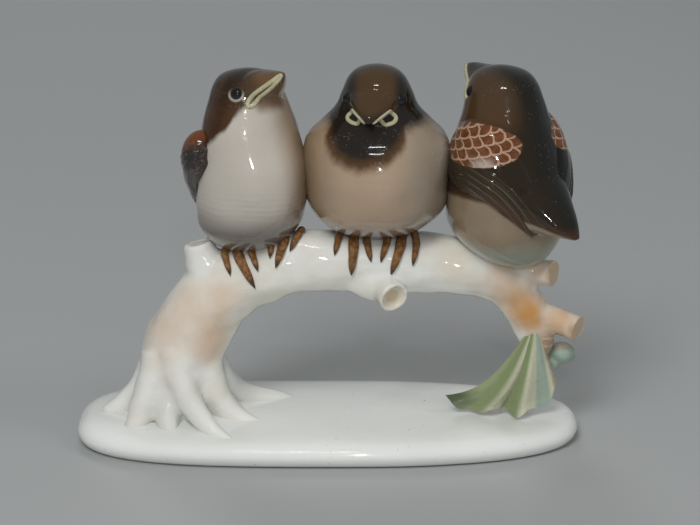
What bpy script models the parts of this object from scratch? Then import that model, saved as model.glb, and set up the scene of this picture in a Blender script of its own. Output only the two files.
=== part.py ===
"""Porcelain group: three fledgling sparrows side by side on an arched branch over an oval plinth.

Lengths are written in millimetres and become metres as each mesh is made. +Z is up, -Y is the
front, and the origin is the centre of the plinth's underside. Every cast piece is an object of
its own, and a slip joint's width is left between it and its neighbours.
"""
import math

import bpy
import bmesh
import numpy as np
from mathutils import Matrix, Vector

MM = 0.001

# Driving dimensions, in millimetres
PLINTH_LENGTH = 160.0
PLINTH_DEPTH = 62.0
PLINTH_HEIGHT = 8.0
BRANCH_AXIS_HEIGHT = 57.9
BRANCH_RADIUS = 9.7
TRUNK_X = -47.0
FORK_X = 56.0
LEFT_BIRD_X = -23.4
MIDDLE_BIRD_X = 15.4
RIGHT_BIRD_X = 55.6
LEFT_BIRD_YAW = 35.0
MIDDLE_BIRD_YAW = -3.0
RIGHT_BIRD_YAW = -140.0

# How the pieces are made and joined, in millimetres
SLIP_GAP = 0.3
CAST_WALL = 3.0
WELD = 0.001
EYE_RADIUS = 2.3
EYE_DEPTH = 1.3
TOE_WIDTH = 2.7
TOE_HEIGHT = 1.9
PAD_DEPTH = 2.6
PAD_HEIGHT = 1.3
POCKET_DEPTH = 4.5
POCKET_HEIGHT = 2.4
TOE_ROOM = 0.45

# Stations of a bird's skin, from vent to crown: height over the perch, the section's centre in Y,
# its half-width, how far it reaches to the front and to the back, and its turn in degrees.
MIDDLE_SKIN = (
    (-0.8, 1.0, 0.0, 0.0, 0.0, 0.0),
    (0.8, 1.0, 11.5, 10.0, 10.5, 0.0),
    (4.0, 1.0, 16.8, 16.0, 14.5, 0.0),
    (10.0, 0.5, 21.0, 20.5, 17.5, 0.0),
    (20.0, 0.0, 22.5, 22.5, 18.5, 0.0),
    (28.5, 0.0, 22.2, 20.5, 17.0, 0.0),
    (33.0, 0.0, 20.2, 17.5, 14.8, 0.0),
    (36.8, -0.5, 16.4, 15.0, 12.8, 0.0),
    (41.0, -1.0, 13.0, 13.0, 12.0, 0.0),
    (46.0, -1.5, 10.9, 12.0, 11.5, 0.0),
    (50.5, -1.5, 8.6, 9.6, 9.6, 0.0),
    (53.0, -1.5, 5.4, 6.0, 6.6, 0.0),
    (54.2, -1.5, 0.0, 0.0, 0.0, 0.0),
)
LEFT_SKIN = (
    (-3.0, 3.0, 0.0, 0.0, 0.0, 0.0),
    (-1.4, 2.5, 7.5, 7.0, 8.0, 0.0),
    (2.0, 2.0, 12.6, 12.4, 12.0, 0.0),
    (7.0, 1.5, 15.4, 15.6, 14.0, 0.0),
    (12.0, 1.0, 16.0, 17.0, 15.0, 0.0),
    (20.0, 0.5, 16.6, 18.5, 16.0, 0.0),
    (27.0, 0.5, 16.4, 18.0, 15.5, 4.0),
    (33.5, 1.0, 15.8, 15.6, 14.4, 8.0),
    (39.0, 1.0, 14.8, 13.4, 13.4, 12.0),
    (45.0, 1.0, 13.0, 11.8, 12.4, 16.0),
    (50.5, 1.0, 10.8, 9.8, 11.0, 20.0),
    (54.2, 0.5, 7.6, 7.4, 8.2, 20.0),
    (56.2, 0.5, 0.0, 0.0, 0.0, 20.0),
)
RIGHT_SKIN = (
    (-8.0, 9.0, 0.0, 0.0, 0.0, 0.0),
    (-6.6, 8.5, 7.0, 6.0, 6.0, 0.0),
    (-2.0, 7.0, 13.0, 12.5, 9.5, 0.0),
    (4.0, 4.5, 16.2, 16.0, 12.5, 0.0),
    (12.0, 2.5, 17.8, 17.6, 14.5, 0.0),
    (22.0, 1.0, 18.2, 18.0, 15.8, 0.0),
    (30.0, 0.0, 17.4, 16.6, 15.4, 0.0),
    (34.5, -0.5, 15.8, 14.8, 14.4, 0.0),
    (38.5, -1.0, 13.8, 13.4, 13.4, 0.0),
    (43.5, -1.5, 12.0, 12.4, 12.2, 0.0),
    (48.5, -2.0, 10.2, 11.0, 10.6, 0.0),
    (51.8, -2.5, 7.0, 8.0, 7.4, 0.0),
    (53.6, -2.5, 0.0, 0.0, 0.0, 0.0),
)
NECK_STATION = 7
SKIN_STEPS = 2
SKIN_POINTS = 20
CAVITY_FLOOR = 6.0

# A wing's spine on the skin: turn from the breast in degrees, height over the perch, half-width
# and how far the wing stands out.
RIGHT_BIRD_WING = (
    (66.0, 29.0, 2.5, 0.9),
    (74.0, 29.5, 7.6, 1.6),
    (90.0, 29.0, 9.6, 1.8),
    (112.0, 26.0, 9.8, 1.8),
    (134.0, 20.0, 9.0, 1.8),
    (152.0, 12.5, 6.6, 1.6),
    (166.0, 5.5, 2.2, 1.0),
)
BACK_WING = (
    (97.0, 31.0, 2.5, 1.0),
    (104.0, 29.6, 6.4, 2.6),
    (116.0, 26.4, 8.0, 3.4),
    (130.0, 21.4, 8.0, 3.0),
    (143.0, 15.6, 6.6, 2.2),
    (154.0, 10.4, 4.6, 1.8),
    (163.0, 6.0, 2.2, 1.0),
)
MIDDLE_BIRD_WING = (
    (113.0, 30.0, 2.5, 1.0),
    (119.0, 29.0, 6.0, 2.4),
    (129.0, 26.0, 7.6, 3.0),
    (141.0, 21.0, 7.4, 2.6),
    (152.0, 15.4, 6.0, 2.0),
    (161.0, 10.4, 4.2, 1.6),
    (168.0, 6.4, 2.0, 1.0),
)
WING_EDGE = 0.7

# The wood: stations of centre X, Y, Z and radius along trunk, branch and limb.
WOOD_SPINE = (
    (TRUNK_X, 0.0, 6.0, 13.2),
    (TRUNK_X, 0.0, 11.0, 13.2),
    (TRUNK_X - 0.2, 0.0, 17.0, 13.1),
    (TRUNK_X - 0.2, 0.0, 24.0, 13.0),
    (TRUNK_X + 2.2, 0.0, 32.0, 12.6),
    (TRUNK_X + 6.0, 0.0, 39.5, 12.2),
    (TRUNK_X + 12.0, 0.0, 46.8, 11.8),
    (TRUNK_X + 19.5, 0.0, 52.6, 11.2),
    (TRUNK_X + 28.0, 0.0, 56.0, 10.6),
    (-12.0, 0.0, 57.6, 10.0),
    (-5.0, 0.0, 58.3, 9.9),
    (5.0, 0.0, BRANCH_AXIS_HEIGHT + 0.2, BRANCH_RADIUS),
    (20.0, 0.0, BRANCH_AXIS_HEIGHT, BRANCH_RADIUS),
    (33.0, 0.0, BRANCH_AXIS_HEIGHT - 0.2, 9.5),
    (44.0, 0.0, 56.2, 9.3),
    (FORK_X - 4.0, 0.0, 53.6, 8.8),
    (FORK_X + 1.6, 0.0, 49.6, 8.0),
    (FORK_X + 6.0, 0.0, 43.6, 7.0),
    (FORK_X + 9.4, 0.0, 37.0, 6.2),
    (FORK_X + 10.6, 0.0, 31.6, 5.4),
)
BRANCH_STATION = 8

# Roots: their direction in degrees, how far they reach past the trunk and how wide they are.
ROOTS = (
    (-58.0, 13.0, 13.0),
    (2.0, 10.0, 16.0),
    (40.0, 11.0, 15.0),
    (92.0, 5.0, 20.0),
    (146.0, 9.0, 18.0),
    (214.0, 7.0, 17.0),
    (262.0, 3.0, 15.0),
)

PLINTH_POINTS = 44

# The leaf: the stalk's end, and the ends of its ribs from the curled left tip to the right edge.
LEAF_ROOT = (65.6, 0.0, 29.5)
LEAF_RIM = (
    (37.5, -2.0, 13.8),
    (43.5, -4.5, 9.6),
    (50.0, -6.0, 10.0),
    (55.0, -5.0, 11.0),
    (59.8, -9.0, 9.2),
    (64.8, -6.0, 11.4),
    (69.6, -6.5, 12.2),
    (72.4, -2.0, 18.0),
)
LEAF_THICKNESS = 1.0
LEAF_START = 0.3
LEAF_ROWS = 5
LEAF_COLUMNS = 24

# Each shoot: stations of X, Y, Z and radius up to its sawn end.
TRUNK_STUB = ((-33.0, 0.0, 50.0, 8.0), (-37.6, 0.0, 58.0, 6.2), (-39.4, 0.0, 64.3, 4.7))
KNOT_STUB = ((16.0, -3.0, 52.5, 7.0), (19.0, -6.5, 49.2, 5.4), (20.7, -9.0, 46.8, 4.7))
UPPER_STUB = ((55.0, 0.0, 53.0, 6.4), (63.0, 0.0, 54.6, 5.0), (71.4, 0.0, 55.0, 4.6))
LOWER_STUB = ((66.0, 0.0, 39.6, 5.2), (73.0, 0.0, 37.6, 4.7), (80.0, 0.0, 36.4, 4.6))
STALK = ((66.7, 0.0, 32.0, 5.2), (66.0, 0.0, 28.0, 4.8), (64.8, -0.6, 24.0, 4.2))
BUD_PLACE = (74.2, 3.0, 25.6)
BUD_SIZE = (4.8, 4.0, 4.2)

# Each foot's toes: places along the branch and angles from its top.
LEFT_BIRD_FEET = (
    (
        ((-31.0, 8.0), (-32.0, 30.0), (-30.5, 55.0)),
        ((-29.0, 8.0), (-27.0, 45.0), (-22.5, 85.0)),
        ((-26.0, 8.0), (-24.0, 50.0)),
    ),
    (
        ((-17.5, 5.0), (-18.0, 40.0)),
        ((-13.5, 5.0), (-15.0, 35.0), (-16.5, 60.0)),
        ((-9.0, 5.0), (-11.0, 30.0), (-13.0, 45.0)),
    ),
)
MIDDLE_BIRD_FEET = (
    (
        ((4.0, 8.0), (2.5, 45.0)),
        ((8.5, 8.0), (8.2, 50.0), (7.8, 92.0)),
        ((12.5, 8.0), (14.0, 55.0)),
    ),
    (
        ((19.5, 8.0), (17.5, 55.0)),
        ((24.0, 8.0), (22.6, 45.0), (20.4, 90.0)),
        ((27.8, 8.0), (28.6, 35.0), (27.4, 60.0)),
    ),
)
RIGHT_BIRD_FEET = (
    (
        ((48.2, 10.0), (46.6, 50.0)),
        ((51.6, 10.0), (51.2, 50.0), (50.8, 80.0)),
        ((54.8, 10.0), (55.6, 50.0)),
    ),
    (
        ((37.0, 10.0), (35.5, 50.0)),
        ((40.5, 10.0), (40.5, 50.0), (40.5, 80.0)),
        ((44.0, 10.0), (45.0, 50.0)),
    ),
)

# Each beak: turn and height on the head, pitch in degrees, length and half-width.
LEFT_BIRD_BEAK = (0.0, 50.0, 36.0, 6.5, 6.4)
MIDDLE_BIRD_BEAK = (0.0, 41.5, 16.0, 7.5, 7.8)
RIGHT_BIRD_BEAK = (0.0, 46.5, 46.0, 7.0, 6.4)
BEAK_ROOT_DEPTH = 2.0
BEAK_NARROWING = 0.55
UPPER_BEAK_HEIGHT = 5.2
LOWER_BEAK_HEIGHT = 4.4
# Each pair of eyes: turn and height on the head.
LEFT_BIRD_EYES = (62.0, 50.0)
MIDDLE_BIRD_EYES = (58.0, 46.0)
RIGHT_BIRD_EYES = (58.0, 45.0)
# Each tail: height on the back, drop in degrees, length and half-width.
LEFT_BIRD_TAIL = (5.0, 35.0, 24.0, 6.0)
MIDDLE_BIRD_TAIL = (5.0, 35.0, 20.8, 6.5)
RIGHT_BIRD_TAIL = (4.5, 0.0, 14.0, 6.0)

WHITE = (0.86, 0.86, 0.83)
CREAM = (0.85, 0.78, 0.68)
TAN = (0.75, 0.50, 0.30)
LEAF_GREEN = (0.55, 0.62, 0.45)
BUD_BLUE = (0.45, 0.58, 0.60)
STALK_BROWN = (0.45, 0.26, 0.18)
EYE_ROUGHNESS = 0.05
LEFT_COLOURS = {
    "body": (0.62, 0.58, 0.54),
    "head": (0.28, 0.14, 0.07),
    "wing": (0.33, 0.14, 0.06),
    "tail": (0.16, 0.10, 0.07),
    "beak": (0.78, 0.75, 0.55),
    "eye": (0.01, 0.01, 0.01),
    "foot": (0.30, 0.14, 0.05),
}
MIDDLE_COLOURS = LEFT_COLOURS | {"body": (0.60, 0.48, 0.40), "head": (0.14, 0.07, 0.04)}
RIGHT_COLOURS = LEFT_COLOURS | {
    "body": (0.48, 0.38, 0.32),
    "head": (0.12, 0.06, 0.04),
    "wing": (0.08, 0.05, 0.04),
}


def new_collection(name):
    """A collection linked to the scene."""
    collection = bpy.data.collections.new(name)
    bpy.context.scene.collection.children.link(collection)
    return collection


def clear_scene():
    """Empties the scene that the model is built in."""
    for old in list(bpy.data.objects):
        bpy.data.objects.remove(old, do_unlink=True)


def glaze(name, colour, roughness):
    """A fired glaze: a plain Principled material with its colour and its gloss."""
    material = bpy.data.materials.new(name)
    material.use_nodes = True
    shader = material.node_tree.nodes["Principled BSDF"]
    shader.inputs["Base Color"].default_value = (*colour, 1.0)
    shader.inputs["Roughness"].default_value = roughness
    shader.inputs["Metallic"].default_value = 0.0
    material.diffuse_color = (*colour, 1.0)
    return material


def mesh_object(name, rings, colour, roughness=0.12, place=None):
    """A closed skin through rings of points, in millimetres; a ring of one point is a pole."""
    shape = bmesh.new()
    rows = [[shape.verts.new(Vector(point) * MM) for point in ring] for ring in rings]
    for lower, upper in zip(rows, rows[1:]):
        count = max(len(lower), len(upper))
        for i in range(count):
            j = (i + 1) % count
            corners = [lower[i % len(lower)], lower[j % len(lower)]]
            corners += [upper[j % len(upper)], upper[i % len(upper)]]
            shape.faces.new(list(dict.fromkeys(corners)))
    for ring in (rows[0], rows[-1]):
        if len(ring) > 2:
            shape.faces.new(ring)
    bmesh.ops.recalc_face_normals(shape, faces=shape.faces)
    return add_piece(name, shape, colour, roughness, place)


def add_piece(name, shape, colour, roughness=0.12, place=None):
    """Makes a named object of a bmesh, gives it its glaze and puts it in its place."""
    mesh = bpy.data.meshes.new(name)
    shape.to_mesh(mesh)
    shape.free()
    mesh.shade_smooth()
    piece = bpy.data.objects.new(name, mesh)
    mesh.materials.append(glaze(name + "_glaze", colour, roughness))
    PARTS.objects.link(piece)
    piece.parent = place
    return piece


def set_in_place(piece):
    """Applies a piece's modifiers and leaves one clean shell: no doubled points and no crumbs."""
    bpy.context.view_layer.update()
    evaluated = piece.evaluated_get(bpy.context.evaluated_depsgraph_get())
    mesh = bpy.data.meshes.new_from_object(evaluated)
    piece.modifiers.clear()
    shape = bmesh.new()
    shape.from_mesh(mesh)
    bmesh.ops.remove_doubles(shape, verts=shape.verts, dist=WELD * MM)
    drop_crumbs(shape)
    shape.to_mesh(mesh)
    shape.free()
    piece.data = mesh


def drop_crumbs(shape):
    """Keeps the largest connected shell, because a cut can leave crumbs beside it."""
    waiting = set(shape.verts)
    shells = []
    while waiting:
        shell = set()
        edge = [waiting.pop()]
        while edge:
            vertex = edge.pop()
            shell.add(vertex)
            near = [link.other_vert(vertex) for link in vertex.link_edges]
            fresh = [other for other in near if other in waiting]
            waiting.difference_update(fresh)
            edge.extend(fresh)
        shells.append(shell)
    keep = max(shells, key=len)
    crumbs = [vertex for vertex in shape.verts if vertex not in keep]
    bmesh.ops.delete(shape, geom=crumbs, context="VERTS")


def boolean(piece, tool, operation):
    """Cuts a tool out of a piece or joins it on, and hides the tool among the cutters."""
    step = piece.modifiers.new(tool.name, "BOOLEAN")
    step.operation = operation
    step.object = tool
    for home in list(tool.users_collection):
        home.objects.unlink(tool)
    CUTTERS.objects.link(tool)
    tool.hide_render = True
    tool.display_type = "WIRE"
    set_in_place(piece)


def fit(piece, *neighbours):
    """Seats a piece on its neighbours: each one's shape, grown by the slip gap, is cut away."""
    for neighbour in neighbours:
        seat = neighbour.copy()
        seat.data = neighbour.data.copy()
        seat.name = piece.name + "_seat_on_" + neighbour.name
        CUTTERS.objects.link(seat)
        grow = seat.modifiers.new("slip_gap", "DISPLACE")
        grow.strength = SLIP_GAP * MM
        grow.mid_level = 0.0
        boolean(piece, seat, "DIFFERENCE")


def smooth_rows(rows, steps):
    """Rows read along a Catmull-Rom curve through the given ones, a few steps to each span."""
    rows = [np.array(row, float) for row in rows]
    padded = [mirrored_row(rows[0], rows[1]), *rows, mirrored_row(rows[-1], rows[-2])]
    curve = []
    for a, b, c, d in zip(padded, padded[1:], padded[2:], padded[3:]):
        for t in np.arange(steps) / steps:
            bend = (2 * a - 5 * b + 4 * c - d) * t * t + (3 * b - a - 3 * c + d) * t ** 3
            curve.append((2 * b + (c - a) * t + bend) / 2)
    return curve + [rows[-1]]


def mirrored_row(end, inner):
    """The row past an end: over a pole the section turns over, and elsewhere the line runs on."""
    if len(end) == 6 and end[2] == 0.0:
        return inner * np.array((1, 1, -1, -1, -1, 1))
    return 2 * end - inner


class Bird:
    """A fledgling: its place on the branch and the skin that its pieces share."""

    def __init__(self, name, x, perch, yaw, skin, colours, feet_side=1.0):
        self.name = name
        self.feet_side = feet_side
        self.colours = colours
        self.place = bpy.data.objects.new(name + "_place", None)
        self.place.location = Vector((x, 0.0, perch)) * MM
        self.place.rotation_euler = (0.0, 0.0, math.radians(yaw))
        PARTS.objects.link(self.place)
        self.rows = smooth_rows(skin, SKIN_STEPS)
        self.fine = np.array(smooth_rows(skin, SKIN_STEPS * 8))

    def section(self, height):
        """The skin's section at a height: centre, half-width, front, back and turn."""
        return [np.interp(height, self.fine[:, 0], self.fine[:, k]) for k in range(1, 6)]

    def skin(self, turn, height):
        """The point of the skin at a turn from the breast, in degrees, and a height."""
        return ring_point(self.section(height), math.radians(turn), height)

    def outward(self, turn, height):
        """The skin's outward direction at a turn and a height."""
        side = self.skin(turn + 1.0, height) - self.skin(turn - 1.0, height)
        up = self.skin(turn, height + 0.2) - self.skin(turn, height - 0.2)
        return side.cross(up).normalized()

    def colour(self, piece):
        """The glaze colour of one of the bird's pieces."""
        return self.colours[piece]


def ring_point(section, angle, height):
    """A point on a skin section at an angle from the breast, towards the bird's left."""
    centre, width, front, back, turn = section
    reach = front if math.cos(angle) > 0 else back
    x = width * math.sin(angle)
    y = centre - reach * math.cos(angle)
    a = math.radians(turn)
    return Vector((x * math.cos(a) - y * math.sin(a), x * math.sin(a) + y * math.cos(a), height))


def skin_ring(row, points, shrink=0.0):
    """The ring of points of one station, moved in by a wall's thickness where it is hollow."""
    section = (row[1], row[2] - shrink, row[3] - shrink, row[4] - shrink, row[5])
    if row[2] <= shrink:
        return [ring_point((row[1], 0.0, 0.0, 0.0, row[5]), 0.0, row[0])]
    return [ring_point(section, math.tau * i / points, row[0]) for i in range(points)]


def hollow(piece, rows, points):
    """Empties a cast piece to its wall, through its open neck."""
    rings = [skin_ring(row, points, CAST_WALL) for row in rows]
    tool = mesh_object(piece.name + "_cavity", rings, (1.0, 1.0, 1.0), place=piece.parent)
    boolean(piece, tool, "DIFFERENCE")


def shifted(row, rise):
    """A station moved up or down."""
    moved = np.array(row)
    moved[0] += rise
    return moved


def make_body(bird):
    """The cast body, open at the neck, where the head is luted on."""
    neck = NECK_STATION * SKIN_STEPS
    rows = bird.rows[:neck] + [shifted(bird.rows[neck], -SLIP_GAP / 2)]
    rings = [skin_ring(row, SKIN_POINTS) for row in rows]
    return mesh_object(bird.name + "_body", rings, bird.colour("body"), place=bird.place)


def hollow_body(bird, body):
    """The slip-cast hollow of a body, from over its floor up through the neck."""
    neck = NECK_STATION * SKIN_STEPS
    floor = bird.rows[0][0] + CAVITY_FLOOR
    rows = [shifted(row, 0.0) for row in bird.rows[4:neck:2] if row[0] > floor]
    end = shifted(rows[0], -CAST_WALL)
    end[2:5] = 0.0
    hollow(body, [end] + rows + [bird.rows[neck], shifted(bird.rows[neck], CAST_WALL)], SKIN_POINTS // 2)


def make_head(bird):
    """The cast head, open at the neck like the body."""
    neck = NECK_STATION * SKIN_STEPS
    rows = [shifted(bird.rows[neck], SLIP_GAP / 2)] + bird.rows[neck + 1:]
    rings = [skin_ring(row, SKIN_POINTS) for row in rows]
    head = mesh_object(bird.name + "_head", rings, bird.colour("head"), place=bird.place)
    top = shifted(bird.rows[-1], -CAST_WALL)
    inner = [row for row in bird.rows[neck:-3:2] if row[0] < top[0] - CAST_WALL]
    hollow(head, [shifted(inner[0], -CAST_WALL)] + inner + [top], SKIN_POINTS // 2)
    return head


def make_eye(bird, side, turn, height):
    """A glass-black bead of glaze, set in a socket in the head."""
    shape = bmesh.new()
    out = bird.outward(turn, height)
    aim = out.to_track_quat("Z", "Y").to_matrix().to_4x4()
    size = Matrix.Diagonal((EYE_RADIUS * MM, EYE_RADIUS * MM, EYE_DEPTH * MM, 1.0))
    middle = Matrix.Translation(bird.skin(turn, height) * MM)
    bmesh.ops.create_uvsphere(shape, u_segments=12, v_segments=7, radius=1.0, matrix=middle @ aim @ size)
    return add_piece(bird.name + side, shape, bird.colour("eye"), EYE_ROUGHNESS, bird.place)


def half_cone(root, tip, across, over, width, height, steps=5, points=8):
    """Rings of one half of a beak: an arch over a flat mouth line, closing towards the tip."""
    rings = []
    for i in range(steps):
        s = i / steps
        swell = math.sqrt(1.0 - s * s) if s else 1.0
        centre = root.lerp(tip, s)
        arch = [math.pi * k / (points - 1) for k in range(points)]
        wide = across * (width * (1 - s * BEAK_NARROWING) * swell)
        tall = over * (height * swell)
        rings.append([centre + wide * math.cos(a) + tall * math.sin(a) for a in arch])
    return rings + [[tip]]


def make_beak(bird, turn, height, pitch, length, width):
    """Upper and lower beak, each a half cone, luted to the face with the mouth just open."""
    level = bird.outward(turn, height)
    level.z = 0.0
    level.normalize()
    across = Vector((-level.y, level.x, 0.0))
    tilt = math.radians(pitch)
    forward = level * math.cos(tilt) + Vector((0.0, 0.0, math.sin(tilt)))
    over = across.cross(forward) * -1.0
    over = over if over.z > 0 else -over
    root = bird.skin(turn, height) - forward * BEAK_ROOT_DEPTH
    tip = root + forward * (length + BEAK_ROOT_DEPTH)
    pieces = []
    halves = (("_upper_beak", 1.0, UPPER_BEAK_HEIGHT), ("_lower_beak", -1.0, LOWER_BEAK_HEIGHT))
    for name, sign, thick in halves:
        lift = over * (sign * SLIP_GAP / 2)
        rings = half_cone(root + lift, tip + lift, across, over * sign, width, thick)
        pieces.append(mesh_object(bird.name + name, rings, bird.colour("beak"), place=bird.place))
    return pieces


def wing_rings(bird, spine, side, points=6):
    """Rings of a folded wing: an arched outer face over an inner face that follows the body."""
    rows = smooth_rows(spine, 2)
    rings = []
    for before, row, after in zip([rows[0]] + rows, rows, rows[1:] + [rows[-1]]):
        turn, height, width, proud = row
        along = bird.skin(side * after[0], after[1]) - bird.skin(side * before[0], before[1])
        centre = bird.skin(side * turn, height)
        out = bird.outward(side * turn, height)
        across = out.cross(along).normalized()
        radius = math.hypot(centre.x, centre.y)
        ring = []
        for layer in (1, 0):
            for k in range(points):
                v = (1 - 2 * k / (points - 1)) * (1 if layer else -1)
                rise = SLIP_GAP + layer * (WING_EDGE + max(0.0, proud - WING_EDGE) * math.sqrt(1 - v * v))
                ring.append(on_skin(bird, centre + across * (v * width), radius, rise))
        rings.append(ring)
    return rings


def on_skin(bird, point, radius, rise):
    """Moves a point beside a bird onto its skin, and then out from it."""
    centre = bird.section(point.z)[0]
    turn = math.degrees(math.atan2(point.x, centre - point.y))
    best = bird.skin(turn, point.z)
    return best + bird.outward(turn, point.z) * rise


def make_wing(bird, label, spine, side):
    """A folded wing, pressed separately and laid on the side of the body."""
    rings = wing_rings(bird, spine, side)
    return mesh_object(bird.name + label, rings, bird.colour("wing"), place=bird.place)


def make_tail(bird, height, drop, length, width):
    """The tail: a flat tapered plate out of the lower back."""
    root = bird.skin(180.0, height) - Vector((0.0, 2.2, 0.0))
    way = Vector((0.0, math.cos(math.radians(drop)), -math.sin(math.radians(drop))))
    over = Vector((0.0, -way.z, way.y))
    rings = []
    for s, half, thick in ((0.0, 0.72, 2.6), (0.35, 0.8, 2.0), (0.7, 0.95, 1.3), (1.0, 1.0, 0.8)):
        centre = root + way * (s * length)
        ring = []
        for i in range(12):
            a = math.tau * i / 12
            x = math.copysign(abs(math.cos(a)) ** 0.6, math.cos(a)) * half * width
            z = math.copysign(abs(math.sin(a)) ** 0.8, math.sin(a)) * thick
            ring.append(centre + Vector((x, 0.0, 0.0)) + over * z)
        rings.append(ring)
    return mesh_object(bird.name + "_tail", rings, bird.colour("tail"), place=bird.place)


def toe_rings(spots, width, height):
    """Rings of a toe that runs over the branch from the belly and ends in a claw."""
    rows = smooth_rows(spots, 2)
    line = [wood_surface(*row) for row in rows]
    rings = []
    for i, (spot, out) in enumerate(line):
        s = i / (len(line) - 1)
        taper = max(0.12, (1 - s ** 3) * (0.8 + 0.5 * math.sin(math.pi * min(1.0, s + 0.3))))
        along = line[min(i + 1, len(line) - 1)][0] - line[max(i - 1, 0)][0]
        across = out.cross(along).normalized() * (width / 2 * taper)
        rise = out * (height / 2 * taper)
        centre = spot + out * 0.25
        ring = [centre + across * math.cos(b) + rise * math.sin(b) for b in np.arange(6) * math.tau / 6]
        rings.append(ring)
    return rings


def foot_pad(name, toes, side, depth, height, colour):
    """An oval pad over the roots of a foot's toes, lying along the wood."""
    roots = np.array([spots[0] for spots in toes])
    x, angle = roots.mean(axis=0)
    middle, out = wood_surface(x, side * angle)
    along = (wood_surface(x + 1.0, side * angle)[0] - middle).normalized()
    turn = Matrix((along, out.cross(along), out)).transposed().to_4x4()
    size = Vector((float(np.ptp(roots[:, 0])) / 2 + depth * 0.6, depth, height)) * MM
    shape = bmesh.new()
    seat = Matrix.Translation(middle * MM) @ turn @ Matrix.Diagonal((*size, 1.0))
    bmesh.ops.create_uvsphere(shape, u_segments=12, v_segments=6, radius=1.0, matrix=seat)
    return add_piece(name, shape, colour)


def foot_toes(name, bird, toes, room=0.0):
    """The three toes of a foot, or with some room around them the channels that they lie in."""
    for index, spots in enumerate(toes):
        width = TOE_WIDTH if index == 1 else TOE_WIDTH * 0.8
        line = [(x, bird.feet_side * angle) for x, angle in spots]
        rings = toe_rings(line, width + 2 * room, TOE_HEIGHT + 2 * room)
        yield mesh_object(name + "_toe_" + str(index + 1), rings, bird.colour("foot"))


def make_foot(bird, label, toes):
    """A foot: a small pad under the belly with three toes that run over the branch."""
    foot = foot_pad(bird.name + label, toes, bird.feet_side, PAD_DEPTH, PAD_HEIGHT, bird.colour("foot"))
    for toe in foot_toes(foot.name, bird, toes):
        boolean(foot, toe, "UNION")
    return foot


def open_foot_pocket(bird, body, toes):
    """The pocket in the underside of a body that a foot's pad and toe roots lie in."""
    name = body.name + "_foot_pocket"
    pocket = foot_pad(name, toes, bird.feet_side, POCKET_DEPTH, POCKET_HEIGHT, bird.colour("body"))
    boolean(body, pocket, "DIFFERENCE")
    for channel in foot_toes(name, bird, toes, TOE_ROOM):
        boolean(body, channel, "DIFFERENCE")


def wood_at(x):
    """The wood's axis point, its direction and its radius over a place in X."""
    spine = np.array(WOOD_SPINE[4:])
    height = np.interp((x - 0.5, x, x + 0.5), spine[:, 0], spine[:, 2])
    ahead = Vector((1.0, 0.0, float(height[2] - height[0]))).normalized()
    return Vector((x, 0.0, float(height[1]))), ahead, float(np.interp(x, spine[:, 0], spine[:, 3]))


def wood_surface(x, angle):
    """The wood's surface point at a place in X and an angle from the top, and its outward way."""
    a = math.radians(angle)
    place = x
    for _ in range(12):
        axis, ahead, radius = wood_at(place)
        out = Vector((-ahead.z, 0.0, ahead.x)) * math.cos(a) + Vector((0.0, -math.sin(a), 0.0))
        place += (x - axis.x - out.x * radius) / 2
    return axis + out * radius, out


def root_reach(angle, height):
    """How far the roots stand out from the trunk at an angle and a height."""
    fade = math.exp(-max(0.0, height - PLINTH_HEIGHT) / 6.0)
    reach = 0.0
    for direction, length, width in ROOTS:
        off = (math.degrees(angle) - direction + 180.0) % 360.0 - 180.0
        reach += length * math.exp(-((off / width) ** 2))
    return reach * fade


def wood_rings(spine, steps, points, roots=False):
    """Rings across a stretch of wood, each at a right angle to its axis."""
    rows = smooth_rows(spine, steps)
    rings = []
    for i, row in enumerate(rows):
        ahead = Vector(rows[min(i + 1, len(rows) - 1)][:3]) - Vector(rows[max(i - 1, 0)][:3])
        ahead.normalize()
        side = Vector((0.0, 1.0, 0.0))
        other = side.cross(ahead).normalized()
        ring = []
        for k in range(points):
            a = math.tau * k / points
            reach = row[3] + (root_reach(a, row[2]) if roots else 0.0)
            ring.append(Vector(row[:3]) + other * (reach * math.cos(a)) + side * (reach * math.sin(a)))
        rings.append(ring)
    return rings


def draw_back(rings, towards):
    """Moves an end ring half a slip gap towards the piece it belongs to."""
    centre = sum(rings[0], Vector()) / len(rings[0])
    inner = sum(rings[towards], Vector()) / len(rings[towards])
    move = (inner - centre).normalized() * (SLIP_GAP / 2)
    return [point + move for point in rings[0]]


def make_trunk():
    """The trunk with its spread roots, up to where the branch is luted on."""
    rings = wood_rings(WOOD_SPINE, 2, 28, roots=True)[:BRANCH_STATION * 2 + 1]
    rings[-1] = draw_back(rings[::-1], 1)
    return mesh_object("trunk", rings, WHITE)


def make_branch():
    """The arched branch, from the trunk over the fork and down the limb."""
    rings = wood_rings(WOOD_SPINE, 2, 16)[BRANCH_STATION * 2:]
    rings[0] = draw_back(rings, 1)
    return mesh_object("branch", rings, CREAM)


def make_stub(name, stations, colour, points=12):
    """A sawn-off side shoot: a tapered stem with a flat cut face."""
    rings = wood_rings(stations, 2, points)
    return mesh_object(name, rings, colour)


def plinth_outline(angle, inset):
    """A point of the plinth's long oval, drawn in by an inset."""
    squareness = 3.0 if math.cos(angle) < 0 else 2.5
    x = math.copysign(abs(math.cos(angle)) ** (2 / squareness), math.cos(angle))
    y = math.copysign(abs(math.sin(angle)) ** (2 / squareness), math.sin(angle))
    return (x * (PLINTH_LENGTH / 2 - inset), y * (PLINTH_DEPTH / 2 - inset))


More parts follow.
